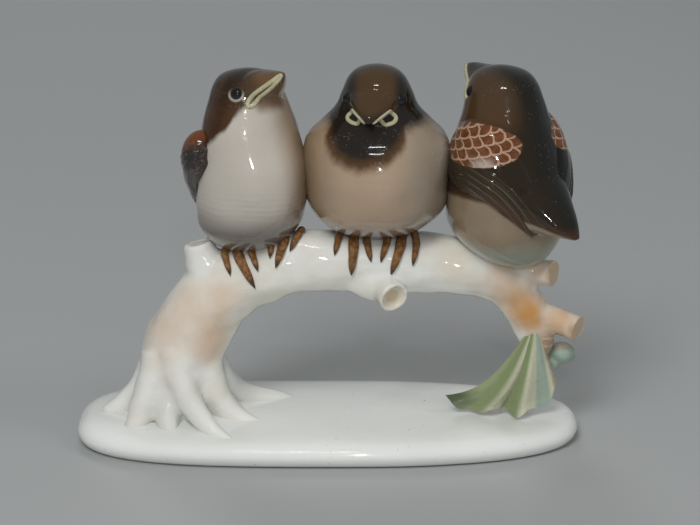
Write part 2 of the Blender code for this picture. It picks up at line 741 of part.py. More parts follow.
def make_plinth():
    """The oval plinth: a ground underside, a rounded side and a softly domed top."""
    profile = (
        (3.6, 0.0), (1.8, 0.5), (0.6, 1.7), (0.0, 3.6), (0.5, 5.3), (1.9, 6.7), (4.2, 7.5),
        (9.0, PLINTH_HEIGHT), (24.0, PLINTH_HEIGHT + 0.3),
    )
    rings = []
    for inset, height in profile:
        ring = []
        for i in range(PLINTH_POINTS):
            x, y = plinth_outline(math.tau * i / PLINTH_POINTS, inset)
            ring.append(Vector((x, y, height)))
        rings.append(ring)
    return mesh_object("plinth", rings, WHITE)


def leaf_point(u, v):
    """A point of the leaf, u from stalk to rim and v from the left tip to the right edge."""
    rim = smooth_rows(LEAF_RIM, 8)
    place = v * (len(rim) - 1)
    low = min(int(place), len(rim) - 2)
    edge = Vector(rim[low]).lerp(Vector(rim[low + 1]), place - low)
    point = Vector(LEAF_ROOT).lerp(edge, u)
    sag = (1 - v) ** 1.5 * math.sin(math.pi * u)
    pleat = math.cos(math.tau * 3.0 * v) * max(0.0, u - 0.2)
    return point + Vector((0.0, 0.0, -4.6)) * sag + Vector((0.0, -2.0, 0.0)) * pleat


def make_leaf():
    """The fan-shaped leaf, pleated along its ribs, hanging from the limb to the plinth."""
    shape = bmesh.new()
    grid = []
    for i in range(LEAF_ROWS + 1):
        u = LEAF_START + (1 - LEAF_START) * i / LEAF_ROWS
        grid.append([shape.verts.new(leaf_point(u, j / LEAF_COLUMNS) * MM) for j in range(LEAF_COLUMNS + 1)])
    for lower, upper in zip(grid, grid[1:]):
        for j in range(LEAF_COLUMNS):
            shape.faces.new((lower[j], lower[j + 1], upper[j + 1], upper[j]))
    leaf = add_piece("leaf", shape, LEAF_GREEN)
    skin = leaf.modifiers.new("thickness", "SOLIDIFY")
    skin.thickness = LEAF_THICKNESS * MM
    skin.offset = 0.0
    set_in_place(leaf)
    return leaf


def make_bud():
    """The lobed bud behind the leaf."""
    shape = bmesh.new()
    size = Matrix.Diagonal([side * MM for side in BUD_SIZE] + [1.0])
    place = Matrix.Translation(Vector(BUD_PLACE) * MM)
    bmesh.ops.create_uvsphere(shape, u_segments=14, v_segments=9, radius=1.0, matrix=place @ size)
    return add_piece("bud", shape, BUD_BLUE)


clear_scene()
PARTS = new_collection("sparrow_group_figurine")
CUTTERS = new_collection("cutters")

plinth = make_plinth()
trunk = make_trunk()
fit(trunk, plinth)
branch = make_branch()

trunk_stub = make_stub("trunk_stub", TRUNK_STUB, CREAM)
knot_stub = make_stub("knot_stub", KNOT_STUB, CREAM)
upper_stub = make_stub("upper_end_stub", UPPER_STUB, TAN)
lower_stub = make_stub("lower_end_stub", LOWER_STUB, TAN)
fit(trunk_stub, trunk, branch)
for stub in (knot_stub, upper_stub, lower_stub):
    fit(stub, branch)

left = Bird("left_bird", LEFT_BIRD_X, 64.0, LEFT_BIRD_YAW, LEFT_SKIN, LEFT_COLOURS)
middle = Bird("middle_bird", MIDDLE_BIRD_X, 67.5, MIDDLE_BIRD_YAW, MIDDLE_SKIN, MIDDLE_COLOURS)
right = Bird("right_bird", RIGHT_BIRD_X, 67.0, RIGHT_BIRD_YAW, RIGHT_SKIN, RIGHT_COLOURS, feet_side=-1.0)

FEET = {left: LEFT_BIRD_FEET, middle: MIDDLE_BIRD_FEET, right: RIGHT_BIRD_FEET}
bodies = {bird: make_body(bird) for bird in (left, middle, right)}
for bird, body in bodies.items():
    fit(body, branch, trunk, trunk_stub)
    for toes in FEET[bird]:
        open_foot_pocket(bird, body, toes)
fit(bodies[right], upper_stub)
fit(bodies[middle], bodies[left])
fit(bodies[right], bodies[middle])
for bird, body in bodies.items():
    for label, toes in zip(("_right_foot", "_left_foot"), FEET[bird]):
        foot = make_foot(bird, label, toes)
        fit(foot, trunk if foot.name == "left_bird_right_foot" else branch)
    hollow_body(bird, body)

EYES = {left: LEFT_BIRD_EYES, middle: MIDDLE_BIRD_EYES, right: RIGHT_BIRD_EYES}
BEAKS = {left: LEFT_BIRD_BEAK, middle: MIDDLE_BIRD_BEAK, right: RIGHT_BIRD_BEAK}
WINGS = {left: BACK_WING, middle: MIDDLE_BIRD_WING, right: RIGHT_BIRD_WING}
TAILS = {left: LEFT_BIRD_TAIL, middle: MIDDLE_BIRD_TAIL, right: RIGHT_BIRD_TAIL}
for bird, (turn, height) in EYES.items():
    head = make_head(bird)
    eyes = [make_eye(bird, "_left_eye", turn, height), make_eye(bird, "_right_eye", -turn, height)]
    fit(head, *eyes)
    for half in make_beak(bird, *BEAKS[bird]):
        fit(half, head)
for bird, spine in WINGS.items():
    wings = [make_wing(bird, "_left_wing", spine, 1.0), make_wing(bird, "_right_wing", spine, -1.0)]
    tail = make_tail(bird, *TAILS[bird])
    fit(tail, bodies[bird])

stalk = make_stub("leaf_stalk", STALK, STALK_BROWN)
fit(stalk, branch, lower_stub)
leaf = make_leaf()
fit(leaf, plinth, branch, stalk)
bud = make_bud()
fit(bud, leaf, stalk, lower_stub)
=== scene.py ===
"""Porcelain group: three fledgling sparrows side by side on an arched branch over an oval plinth.

Shapes are worked out in millimetres and become metres as each mesh is made. +Z is up and -Y is
the front. A bird's own frame has its breast towards -Y and its left side towards +X.
"""

import math

import bpy
import numpy as np
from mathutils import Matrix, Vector, noise
from mathutils.bvhtree import BVHTree


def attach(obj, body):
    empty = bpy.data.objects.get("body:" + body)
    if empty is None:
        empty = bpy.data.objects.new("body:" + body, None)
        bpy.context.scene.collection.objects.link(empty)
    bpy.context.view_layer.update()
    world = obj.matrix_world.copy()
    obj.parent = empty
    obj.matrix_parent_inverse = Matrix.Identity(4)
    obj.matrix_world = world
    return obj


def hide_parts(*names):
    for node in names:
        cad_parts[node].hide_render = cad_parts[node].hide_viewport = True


MM = 0.001
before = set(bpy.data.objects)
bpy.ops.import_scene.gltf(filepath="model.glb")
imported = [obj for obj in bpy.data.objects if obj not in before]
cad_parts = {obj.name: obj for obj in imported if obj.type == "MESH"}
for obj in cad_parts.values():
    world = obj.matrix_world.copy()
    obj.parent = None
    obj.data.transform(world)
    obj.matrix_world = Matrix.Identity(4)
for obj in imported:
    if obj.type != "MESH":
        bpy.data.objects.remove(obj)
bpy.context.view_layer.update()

# ---------------------------------------------------------------------------------------------
# The table that the group stands on, the camera and the light: a plain pale floor, a pale room
# and six lamps. Only the small one and the long tube above it show as highlights in the glaze.

FLOOR_REACH = 4.0
FLOOR_GREY = (0.40, 0.41, 0.41, 1.0)
FLOOR_ROUGHNESS = 0.42
ROOM_GREY = (0.62, 0.65, 0.66, 1.0)
ROOM_LIGHT = 0.30
VIEW_HEIGHT = 18.0
VIEW_DISTANCE = 0.7
VIEW_AIM = Vector((0.0071, 0.0, 0.0577))
LENS = 114.5
NEAREST_SEEN = 0.01

bpy.ops.mesh.primitive_grid_add(x_subdivisions=8, y_subdivisions=8, size=2 * FLOOR_REACH)
floor = bpy.context.object
floor.name = "floor"
floor_paint = bpy.data.materials.new("floor_paint")
floor_paint.use_nodes = True
floor_shader = floor_paint.node_tree.nodes["Principled BSDF"]
floor_shader.inputs["Base Color"].default_value = FLOOR_GREY
floor_shader.inputs["Roughness"].default_value = FLOOR_ROUGHNESS
floor.data.materials.append(floor_paint)

world = bpy.data.worlds.new("room")
bpy.context.scene.world = world
world.use_nodes = True
world.node_tree.nodes["Background"].inputs["Color"].default_value = ROOM_GREY
world.node_tree.nodes["Background"].inputs["Strength"].default_value = ROOM_LIGHT

tilt = math.radians(VIEW_HEIGHT)
camera = bpy.data.objects.new("camera", bpy.data.cameras.new("camera"))
camera.data.lens = LENS
camera.location = VIEW_AIM + Vector((0.0, -math.cos(tilt), math.sin(tilt))) * VIEW_DISTANCE
camera.rotation_euler = (VIEW_AIM - camera.location).to_track_quat("-Z", "Y").to_euler()
camera.data.clip_start = NEAREST_SEEN
bpy.context.scene.collection.objects.link(camera)
bpy.context.scene.camera = camera
bpy.context.scene.view_settings.view_transform = "Standard"

# Each lamp: name, place, width and depth of its face, watts, and whether the glaze mirrors it.
LAMPS = (
    ("soft_lamp", (-0.35, -0.95, 1.1), (0.5, 0.5), 9.4, False),
    ("small_lamp", (0.03, -0.72, 0.40), (0.028, 0.028), 0.5, True),
    ("tube_lamp", (-0.05, -0.55, 1.0), (0.26, 0.012), 0.7, True),
    ("low_lamp", (0.15, -1.2, 0.12), (0.5, 0.5), 2.8, False),
    ("side_lamp", (1.0, -0.3, 0.9), (0.3, 0.3), 2.2, False),
    ("back_lamp", (-0.2, 1.0, 0.9), (0.5, 0.5), 3.5, False),
)
for name, place, face, watts, mirrored in LAMPS:
    lamp = bpy.data.lights.new(name, "AREA")
    lamp.shape = "RECTANGLE"
    lamp.size, lamp.size_y = face
    lamp.energy = watts
    holder = bpy.data.objects.new(name, lamp)
    holder.location = place
    holder.rotation_euler = (VIEW_AIM - holder.location).to_track_quat("-Z", "Y").to_euler()
    holder.visible_glossy = mirrored
    bpy.context.scene.collection.objects.link(holder)

# ---------------------------------------------------------------------------------------------
# The plinth: one solid slab of white porcelain, pressed in a mould, with a rounded side and a
# ground foot ring underneath. Its top rises softly to the roots of the trunk.

PLINTH_HALF = (80.0, 31.0)
PLINTH_TOP = 8.0
PLINTH_SIDES = 240
PLINTH_PROFILE = (
    (3.6, 0.0), (2.6, 0.12), (1.8, 0.5), (1.1, 1.1), (0.6, 1.8), (0.2, 2.7), (0.0, 3.6), (0.1, 4.5),
    (0.5, 5.4), (1.1, 6.1), (1.9, 6.7), (3.0, 7.2), (4.4, 7.55), (6.4, 7.8), (9.0, 8.0), (13.0, 8.1),
)
FOOT_RING = ((8.0, 0.0), (9.0, 0.2), (9.6, 0.8), (10.4, 1.0))
PLINTH_CROWN = 8.3
PLINTH_FALL = 0.2
UNDERSIDE_CENTRE = (0.5, 0.2, 1.0)
TRUNK_FOOT = (-47.0, 0.0)
MOUND = 2.6
MOUND_FALL = 1.6
MOUND_REACH = (26.0, 19.0)
WHITE = (0.79, 0.80, 0.77, 1.0)
SHADE = (0.50, 0.51, 0.49, 1.0)
GLAZE_ROUGHNESS = 0.16
COAT_ROUGHNESS = 0.035
PORCELAIN_INDEX = 1.52
UNDER_SHINE = 0.12
SPECK = (0.42, 0.30, 0.20, 1.0)


class Paint:
    """One output of a glaze's node tree. Arithmetic on it adds Math nodes to that tree."""

    def __init__(self, tree, socket=None):
        self.tree = tree
        self.socket = socket

    def node(self, kind, settings, inputs, output=0):
        """Adds a node: first its settings or its ramp's stops, then what its sockets hold."""
        made = self.tree.nodes.new(kind)
        for key, value in settings.items():
            setattr(made, key, value)
        for key, value in inputs.items():
            if isinstance(value, Paint):
                self.tree.links.new(value.socket, made.inputs[key])
            else:
                made.inputs[key].default_value = value
        return Paint(self.tree, made.outputs[output])

    def math(self, operation, *others):
        """A Math node on this value and, for some operations, others."""
        return self.node("ShaderNodeMath", {"operation": operation}, dict(enumerate((self, *others))))

    def __add__(self, other):
        return self.math("ADD", other)

    def __sub__(self, other):
        return self.math("SUBTRACT", other)

    def __rsub__(self, other):
        return self * -1.0 + other

    def __mul__(self, other):
        return self.math("MULTIPLY", other)

    def __truediv__(self, other):
        return self.math("DIVIDE", other)

    __radd__ = __add__
    __rmul__ = __mul__

    def rise(self, low, high):
        """0 below low, 1 above high and a soft step between; low may be the greater of the two."""
        settings = {"interpolation_type": "SMOOTHSTEP"}
        return self.node("ShaderNodeMapRange", settings, {0: self, 1: low, 2: high})

    def mix(self, under, over):
        """A colour: under where this mask is 0, and over where it is 1."""
        return self.node("ShaderNodeMix", {"data_type": "RGBA"}, {0: self, 6: under, 7: over}, 2)

    def field(self, name):
        """A number that the mesh carries at each of its points."""
        return self.node("ShaderNodeAttribute", {"attribute_name": name}, {}, 2)

    def place(self):
        """The point's place in the row frame, in metres."""
        return self.node("ShaderNodeTexCoord", {}, {}, 3)

    def cloud(self, size, detail=3.0, roughness=0.5):
        """Soft noise from 0 to 1 whose patches are about that many millimetres across."""
        grain = {"Scale": 1.0 / (size * MM), "Detail": detail, "Roughness": roughness}
        return self.node("ShaderNodeTexNoise", {}, {"Vector": self.place(), **grain})

    def patch(self, centre, reach, wander=0.0):
        """1 at a point given in millimetres and 0 from its reach on, with an uneven edge."""
        ends = {0: self.place(), 1: Vector(centre) * MM}
        away = self.node("ShaderNodeVectorMath", {"operation": "DISTANCE"}, ends, 1)
        if wander:
            away = away + (self.cloud(reach * 0.7) - 0.5) * (wander * MM)
        return away.rise(reach * MM, reach * MM * 0.15)


def glaze(name):
    """A fired glaze over porcelain: the material, its shader and a blank paint to start from."""
    material = bpy.data.materials.new(name)
    material.use_nodes = True
    shader = material.node_tree.nodes["Principled BSDF"]
    shader.inputs["Roughness"].default_value = GLAZE_ROUGHNESS
    shader.inputs["IOR"].default_value = PORCELAIN_INDEX
    shader.inputs["Specular IOR Level"].default_value = UNDER_SHINE
    shader.inputs["Coat Weight"].default_value = 1.0
    shader.inputs["Coat Roughness"].default_value = COAT_ROUGHNESS
    return material, shader, Paint(material.node_tree)


def fire(shader, paint, colour, height, depth, roughness=None):
    """Joins a colour, a relief of so many millimetres and a roughness to a glaze's shader."""
    bump = paint.node("ShaderNodeBump", {}, {"Height": height, "Strength": 1.0, "Distance": depth * MM})
    paint.tree.links.new(bump.socket, shader.inputs["Normal"])
    paint.tree.links.new(colour.socket, shader.inputs["Base Color"])
    if roughness is not None:
        paint.tree.links.new(roughness.socket, shader.inputs["Roughness"])


def loft(rings):
    """Points and faces of a skin through closed rings of equal count, with both ends closed."""
    rings = np.asarray(rings, float)
    count, sides = rings.shape[:2]
    first = np.arange(count - 1)[:, None] * sides
    here = np.arange(sides)[None, :]
    there = (here + 1) % sides
    faces = np.stack([first + here, first + there, first + sides + there, first + sides + here], -1)
    ends = [tuple(range(sides))[::-1], tuple(range((count - 1) * sides, count * sides))]
    return rings.reshape(-1, 3), [tuple(face) for face in faces.reshape(-1, 4).tolist()] + ends


def mesh_object(name, parts):
    """An object of one or more (points, faces) parts given in millimetres."""
    points = []
    faces = []
    start = 0
    for part_points, part_faces in parts:
        points.append(np.asarray(part_points, float))
        faces.extend(tuple(corner + start for corner in face) for face in part_faces)
        start += len(part_points)
    mesh = bpy.data.meshes.new(name)
    mesh.from_pydata((np.concatenate(points) * MM).tolist(), [], faces)
    mesh.update()
    mesh.shade_smooth()
    piece = bpy.data.objects.new(name, mesh)
    bpy.context.scene.collection.objects.link(piece)
    return piece


def hand_over(piece, material, slot, *nodes):
    """Glazes a piece, fixes it to the group and hides the CAD nodes that it stands for; its slot is not used."""
    piece.data.materials.clear()
    piece.data.materials.append(material)
    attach(piece, "root")
    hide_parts(*nodes)


def plinth_ring(half_x, half_y, height):
    """A ring of the plinth's long oval, squarer at its left end, with the mound at the trunk."""
    angle = np.arange(PLINTH_SIDES) * math.tau / PLINTH_SIDES
    cos = np.cos(angle)
    sin = np.sin(angle)
    power = 2 / np.interp(cos, (-0.4, 0.4), (3.0, 2.5))
    x = np.sign(cos) * np.abs(cos) ** power * half_x
    y = np.sign(sin) * np.abs(sin) ** power * half_y
    z = np.full(PLINTH_SIDES, height)
    if height > PLINTH_TOP - 1.0:
        far = ((x - TRUNK_FOOT[0]) / MOUND_REACH[0]) ** 2 + ((y - TRUNK_FOOT[1]) / MOUND_REACH[1]) ** 2
        z = z + MOUND * np.exp(-far * MOUND_FALL)
    return np.stack([x, y, z], -1)


plinth_rings = [plinth_ring(*UNDERSIDE_CENTRE)]
for inset, z in FOOT_RING[::-1] + PLINTH_PROFILE:
    plinth_rings.append(plinth_ring(PLINTH_HALF[0] - inset, PLINTH_HALF[1] - inset, z))
top_half = [half - PLINTH_PROFILE[-1][0] for half in PLINTH_HALF]
for share in np.linspace(0.95, 0.01, 40):
    z = PLINTH_CROWN - PLINTH_FALL * share ** 2
    plinth_rings.append(plinth_ring(top_half[0] * share, top_half[1] * share, z))

white_glaze, shader, paint = glaze("plinth_glaze")
# Painted shade: grey shadows on the plinth's top round the foot of the trunk and under the leaf, with a mottled
# grey laid over them at random.
shade = paint.patch((-44.0, -8.0, 9.0), 30.0, 9.0) * 0.2
shade = shade + paint.patch((60.0, -8.0, 8.0), 20.0, 6.0) * 0.25
shade = shade + paint.cloud(24.0).rise(0.45, 0.8) * 0.12
colour = shade.mix(WHITE, SHADE)
speck = paint.cloud(1.1, 1.0).rise(0.745, 0.775) * paint.cloud(9.0).rise(0.52, 0.6)
colour = speck.mix(colour, SPECK)
relief = paint.cloud(7.0) + paint.cloud(1.6) * 0.12
fire(shader, paint, colour, relief, 0.16, paint.cloud(14.0) * 0.12 + 0.1)
plinth = mesh_object("plinth_casting", [loft(plinth_rings)])
hand_over(plinth, white_glaze, "plinth", "plinth")

# ---------------------------------------------------------------------------------------------
# The wood: a gnarled trunk with spread roots, the arched branch and its sawn side shoots, cast
# in porcelain and luted together, so that the joints are smoothed away under the glaze.

# Stations of centre X, Y, Z and radius along trunk, branch and limb.
WOOD_SPINE = (
    (-47.0, 0.0, 5.0, 13.0), (-47.0, 0.0, 11.0, 12.8), (-47.2, 0.0, 17.0, 12.8), (-47.2, 0.0, 24.0, 13.0),
    (-44.8, 0.0, 32.0, 12.6), (-41.0, 0.0, 39.5, 12.2), (-35.0, 0.0, 46.8, 11.8), (-27.5, 0.0, 52.6, 11.2),
    (-19.0, 0.0, 56.0, 10.6), (-12.0, 0.0, 57.6, 10.0), (-5.0, 0.0, 58.3, 9.9), (5.0, 0.0, 58.1, 9.7),
    (20.0, 0.0, 57.9, 9.7), (33.0, 0.0, 57.7, 9.5), (44.0, 0.0, 56.2, 9.3), (52.0, 0.0, 53.6, 8.8),
    (57.6, 0.0, 49.6, 8.0), (62.0, 0.0, 43.6, 7.0), (65.4, 0.0, 37.0, 6.2), (66.6, 0.0, 31.6, 5.4),
    (66.4, 0.0, 27.5, 4.4),
)
# Each root: how it leaves the trunk and runs out over the plinth, as X, Y, Z and radius.
ROOTS = (
    ((-48.0, -6.0, 30.0, 7.0), (-46.0, -10.5, 22.0, 4.6), (-42.0, -14.5, 14.0, 3.8),
     (-37.0, -18.5, 9.4, 3.2), (-32.0, -22.0, 7.2, 2.2), (-27.0, -25.0, 6.2, 1.2)),
    ((-53.0, -4.0, 28.0, 7.0), (-56.0, -8.0, 19.0, 5.4), (-58.5, -11.0, 12.5, 4.8),
     (-60.5, -13.0, 8.4, 3.8), (-63.5, -14.5, 6.0, 2.4)),
    ((-53.0, 2.0, 26.0, 7.0), (-60.0, 0.5, 15.0, 5.0), (-66.0, -0.5, 9.6, 4.2), (-71.5, -1.0, 6.6, 3.0)),
    ((-42.0, -2.0, 28.0, 8.0), (-36.0, -5.0, 16.0, 5.6), (-31.0, -7.0, 10.0, 4.2),
     (-25.0, -9.0, 7.0, 3.0), (-19.0, -10.0, 5.6, 2.2)),
    ((-42.0, 3.0, 26.0, 8.0), (-35.0, 6.0, 15.0, 6.0), (-28.0, 9.0, 9.4, 5.0),
     (-19.0, 11.0, 6.8, 4.0), (-11.0, 12.0, 5.2, 3.0)),
    ((-47.0, 6.0, 24.0, 7.0), (-46.0, 12.0, 13.0, 5.0), (-44.0, 17.0, 8.0, 3.6), (-41.0, 21.0, 5.6, 2.4)),
    ((-54.0, 5.0, 22.0, 6.0), (-60.0, 10.0, 12.0, 4.6), (-65.0, 13.0, 7.4, 3.2), (-69.0, 15.0, 5.4, 2.2)),
    ((-50.0, -7.0, 20.0, 5.0), (-50.5, -12.0, 13.0, 4.4), (-50.0, -15.5, 9.0, 3.6), (-48.5, -18.0, 6.4, 2.2)),
)
# Each shoot: stations up to its sawn end.
TRUNK_STUB = (
    (-34.0, 0.0, 49.0, 8.6), (-37.4, 0.0, 56.5, 6.8), (-39.2, 0.0, 61.0, 5.4), (-40.2, 0.0, 64.4, 4.6),
)
KNOT_STUB = ((5.0, -1.0, 55.6, 6.0), (12.0, -4.6, 53.4, 5.8), (17.4, -8.0, 51.8, 5.3), (20.4, -13.0, 50.7, 4.8))
UPPER_STUB = ((53.0, 0.0, 53.6, 7.4), (60.0, -0.6, 54.6, 5.6), (66.0, -2.0, 55.0, 4.5), (71.0, -4.2, 55.2, 4.6))
LOWER_STUB = ((64.0, 0.0, 40.4, 5.8), (70.0, -0.6, 38.8, 4.9), (75.0, -2.2, 37.8, 4.5), (79.2, -4.8, 37.0, 4.9))
WOOD_VOXEL = 0.6
WOOD_ROUNDS = 7
# The roots are smoothed further: not at all above one height, and fully some way below it.
ROOTS_FREE_ABOVE = 34.0
ROOTS_FADE = 12.0
ROOTS_ROUNDS = 40
# The clay's broad and fine unevenness: its pitch along X, Y and Z, and its depth.
SWELLS = (((0.055, 0.09, 0.075), 1.1), ((0.16, 0.2, 0.2), 0.35))
SWELL_FROM = 7.0
SWELL_FADE = 8.0
CREAM = (0.66, 0.60, 0.48, 1.0)
PEACH = (0.66, 0.47, 0.32, 1.0)
ORANGE = (0.52, 0.26, 0.075, 1.0)
TAN = (0.46, 0.29, 0.13, 1.0)
SAPWOOD = (0.62, 0.49, 0.32, 1.0)
BARK_BROWN = (0.30, 0.19, 0.11, 1.0)
# Sprayed blushes and painted shade in the order they are laid on: a tone, then each spot's centre, reach and
# strength.
WOOD_BLUSHES_AND_SHADE = (
    (PEACH, (((-33.0, -9.0, 50.0), 10.0, 0.6),)),
    (ORANGE, (((-36.0, -10.0, 41.0), 10.0, 0.35),)),
    (PEACH, (
        ((-37.0, -9.0, 33.0), 10.0, 0.8), ((-44.0, -9.0, 49.0), 11.0, 0.5), ((-51.0, -9.0, 37.0), 13.0, 0.45),
        ((-43.0, -12.0, 40.0), 12.0, 0.35), ((-30.0, 8.0, 46.0), 14.0, 0.6),
    )),
    (CREAM, (((40.0, -8.0, 60.0), 12.0, 0.6),)),
    (PEACH, (((28.0, 9.0, 56.0), 16.0, 0.4), ((54.0, -6.0, 57.0), 8.0, 0.7))),
    (ORANGE, (
        ((59.0, -6.0, 48.0), 9.0, 0.55), ((63.0, -5.0, 43.0), 10.0, 1.0), ((56.0, -7.0, 49.0), 8.0, 0.3),
        ((73.0, -3.0, 38.5), 10.0, 0.75), ((66.0, -3.0, 56.0), 8.0, 0.5), ((62.0, 6.0, 45.0), 11.0, 0.6),
    )),
    (BARK_BROWN, (((66.0, -3.0, 34.0), 6.0, 0.55),)),
    (PEACH, (((50.0, -9.0, 52.0), 8.0, 0.35),)),
    # Painted shade: darker grey low between the roots, and a painted shadow on the branch under the left bird.
    (SHADE, (
        ((-48.0, -12.0, 12.0), 15.0, 0.4), ((-36.0, -3.0, 12.0), 12.0, 0.35), ((-58.0, -6.0, 18.0), 10.0, 0.3),
        ((-24.0, -8.0, 61.0), 8.0, 0.2), ((-28.0, 6.0, 12.0), 12.0, 0.35),
    )),
)
SAWN_FACES = (
    ((71.8, -4.9, 55.2), 5.2, TAN), ((79.8, -5.6, 36.9), 5.6, TAN),
    ((20.6, -14.0, 50.5), 5.4, CREAM), ((-40.4, 0.0, 65.0), 4.6, CREAM),
)
KNOT_HEART = ((20.8, -14.0, 50.6), 3.8, 0.5)
# Brush streaks: how many to a metre, and how much shorter they are up and down.
STREAKS = 420.0
STREAK_SQUASH = (1.0, 1.0, 3.2)


def smooth_rows(rows, steps):
    """Rows read along a Catmull-Rom curve through the given ones, a few steps to each span."""
    rows = [np.array(row, float) for row in rows]
    padded = [past_end(rows[0], rows[1]), *rows, past_end(rows[-1], rows[-2])]
    curve = []
    for a, b, c, d in zip(padded, padded[1:], padded[2:], padded[3:]):
        for t in np.arange(steps) / steps:
            bend = (2 * a - 5 * b + 4 * c - d) * t * t + (3 * b - a - 3 * c + d) * t ** 3
            curve.append((2 * b + (c - a) * t + bend) / 2)
    return np.array(curve + [rows[-1]])


def past_end(end, inner):
    """The row past an end: over a bird's pole the section turns over, else the line runs on."""
    if len(end) == 6 and end[2] == 0.0:
        return inner * np.array((1, 1, -1, -1, -1, 1))
    return 2 * end - inner


def sweep(stations, sides=40):
    """Rings of a tapered stem through stations of X, Y, Z and radius."""
    rows = smooth_rows(stations, 8)
    level = Vector((0.0, 1.0, 0.0))
    rings = []
    angle = np.arange(sides) * math.tau / sides
    for i, row in enumerate(rows):
        ahead = Vector(rows[min(i + 1, len(rows) - 1)][:3] - rows[max(i - 1, 0)][:3]).normalized()
        other = level.cross(ahead).normalized()
        side = ahead.cross(other).normalized()
        ring = np.outer(np.cos(angle), other) + np.outer(np.sin(angle), side)
        rings.append(row[:3] + ring * row[3])
    return np.array(rings)


def sawn(rings, lip, depth):
    """A stem's rings with its sawn face: a rounded bark lip and a face sunk a little inside."""
    centre = rings[-1].mean(0)
    ahead = centre - rings[-3].mean(0)
    ahead = ahead / np.linalg.norm(ahead)
    rim = [(1.03, 0.25), (1.0, lip), (0.9, lip * 1.25), (0.8, lip * 0.9)]
    inner = [(0.72, -depth), (0.4, -depth * 1.4), (0.05, -depth)]
    face = [centre + (rings[-1] - centre) * share + ahead * out for share, out in rim + inner]
    return np.concatenate([rings, np.array(face)])


def cast(name, parts, voxel, rounds):
    """Joins closed parts into one casting: a fine even mesh whose joints are rounded off."""
    piece = mesh_object(name, parts)
    grain = piece.modifiers.new("grain", "REMESH")
    grain.mode = "VOXEL"
    grain.voxel_size = voxel * MM
    ease = piece.modifiers.new("ease", "SMOOTH")
    ease.factor = 0.5
    ease.iterations = rounds
    bpy.context.view_layer.update()
    evaluated = piece.evaluated_get(bpy.context.evaluated_depsgraph_get())
    mesh = bpy.data.meshes.new_from_object(evaluated)
    piece.modifiers.clear()
    piece.data = mesh
    mesh.shade_smooth()
    return piece


def ease_where(piece, weights, rounds):
    """Smooths a piece further where its weights are high, as with a wet brush."""
    group = piece.vertex_groups.new(name="ease")
    for level in np.unique(np.round(weights, 1)):
        if level > 0:
            group.add(np.flatnonzero(np.round(weights, 1) == level).tolist(), float(level), "REPLACE")
    ease = piece.modifiers.new("ease", "SMOOTH")
    ease.factor = 0.5
    ease.iterations = rounds
    ease.vertex_group = group.name
    evaluated = piece.evaluated_get(bpy.context.evaluated_depsgraph_get())
    mesh = bpy.data.meshes.new_from_object(evaluated)
    piece.modifiers.clear()
    piece.vertex_groups.clear()
    piece.data = mesh


def ramp(values, start, width):
    """0 up to a start and 1 from a width beyond it."""
    return np.clip((values - start) / width, 0.0, 1.0)


def points_of(piece):
    """A piece's points and their normals, in millimetres."""
    count = len(piece.data.vertices)
    co = np.zeros(count * 3, np.float32)
    normal = np.zeros(count * 3, np.float32)
    piece.data.vertices.foreach_get("co", co)
    piece.data.vertices.foreach_get("normal", normal)
    return co.reshape(-1, 3) / MM, normal.reshape(-1, 3)


def move_points(piece, points):
    """Moves a piece's points to places in millimetres."""
    piece.data.vertices.foreach_set("co", (points * MM).astype(np.float32).ravel())
    piece.data.update()


def set_field(piece, name, values):
    """Gives each point of a piece a number that its glaze can read."""
    field = piece.data.attributes.new(name, "FLOAT", "POINT")
    field.data.foreach_set("value", np.asarray(values, np.float32))


wood_parts = [loft(sweep(WOOD_SPINE, 64))] + [loft(sweep(root, 28)) for root in ROOTS]
wood_parts += [loft(sawn(sweep(TRUNK_STUB), 0.1, 0.3)), loft(sawn(sweep(KNOT_STUB), 0.9, 0.5))]
wood_parts += [loft(sawn(sweep(UPPER_STUB), 0.3, -0.2)), loft(sawn(sweep(LOWER_STUB), 0.3, -0.2))]
wood = cast("wood_casting", wood_parts, WOOD_VOXEL, WOOD_ROUNDS)
ease_where(wood, ramp(-points_of(wood)[0][:, 2], -ROOTS_FREE_ABOVE, ROOTS_FADE), ROOTS_ROUNDS)
points, normals = points_of(wood)
swell = sum(
    np.array([noise.noise(Vector(point)) for point in points * np.array(pitch)]) * deep
    for pitch, deep in SWELLS
)
clear_of_plinth = ramp(points[:, 2], SWELL_FROM, SWELL_FADE)
move_points(wood, points + normals * (swell * clear_of_plinth)[:, None])

wood_glaze, shader, paint = glaze("wood_glaze")
colour = (paint.cloud(16.0).rise(0.40, 0.70) * 0.45 + 0.15).mix(WHITE, CREAM)
for tone, spots in WOOD_BLUSHES_AND_SHADE:
    for centre, reach, strength in spots:
        colour = (paint.patch(centre, reach, reach * 0.6) * strength).mix(colour, tone)
for centre, reach, tone in SAWN_FACES:
    colour = (paint.patch(centre, reach, 1.0).rise(0.0, 0.25) * 0.8).mix(colour, tone)
colour = paint.patch(*KNOT_HEART).rise(0.1, 0.5).mix(colour, SAPWOOD)
squash = {"Vector": paint.place(), "Scale": STREAK_SQUASH}
brush = paint.node("ShaderNodeMapping", {"vector_type": "POINT"}, squash)
grain = {"Vector": brush, "Scale": STREAKS, "Detail": 4.0, "Roughness": 0.6}
streak = paint.node("ShaderNodeTexNoise", {}, grain)
colour = (streak.rise(0.55, 0.78) * 0.22).mix(colour, CREAM)
relief = paint.cloud(5.0) + paint.cloud(1.3) * 0.15 + streak * 0.2
fire(shader, paint, colour, relief, 0.3, paint.cloud(12.0) * 0.14 + 0.1)
stubs = ("trunk_stub", "knot_stub", "upper_end_stub", "lower_end_stub")
hand_over(wood, wood_glaze, "wood", "trunk", "branch", *stubs)

# ---------------------------------------------------------------------------------------------
# The leaf, its stalk and the bud: a thin sheet of porcelain pressed into ribs and hung from the
# limb down to the plinth, with a lobed bud luted on behind it.

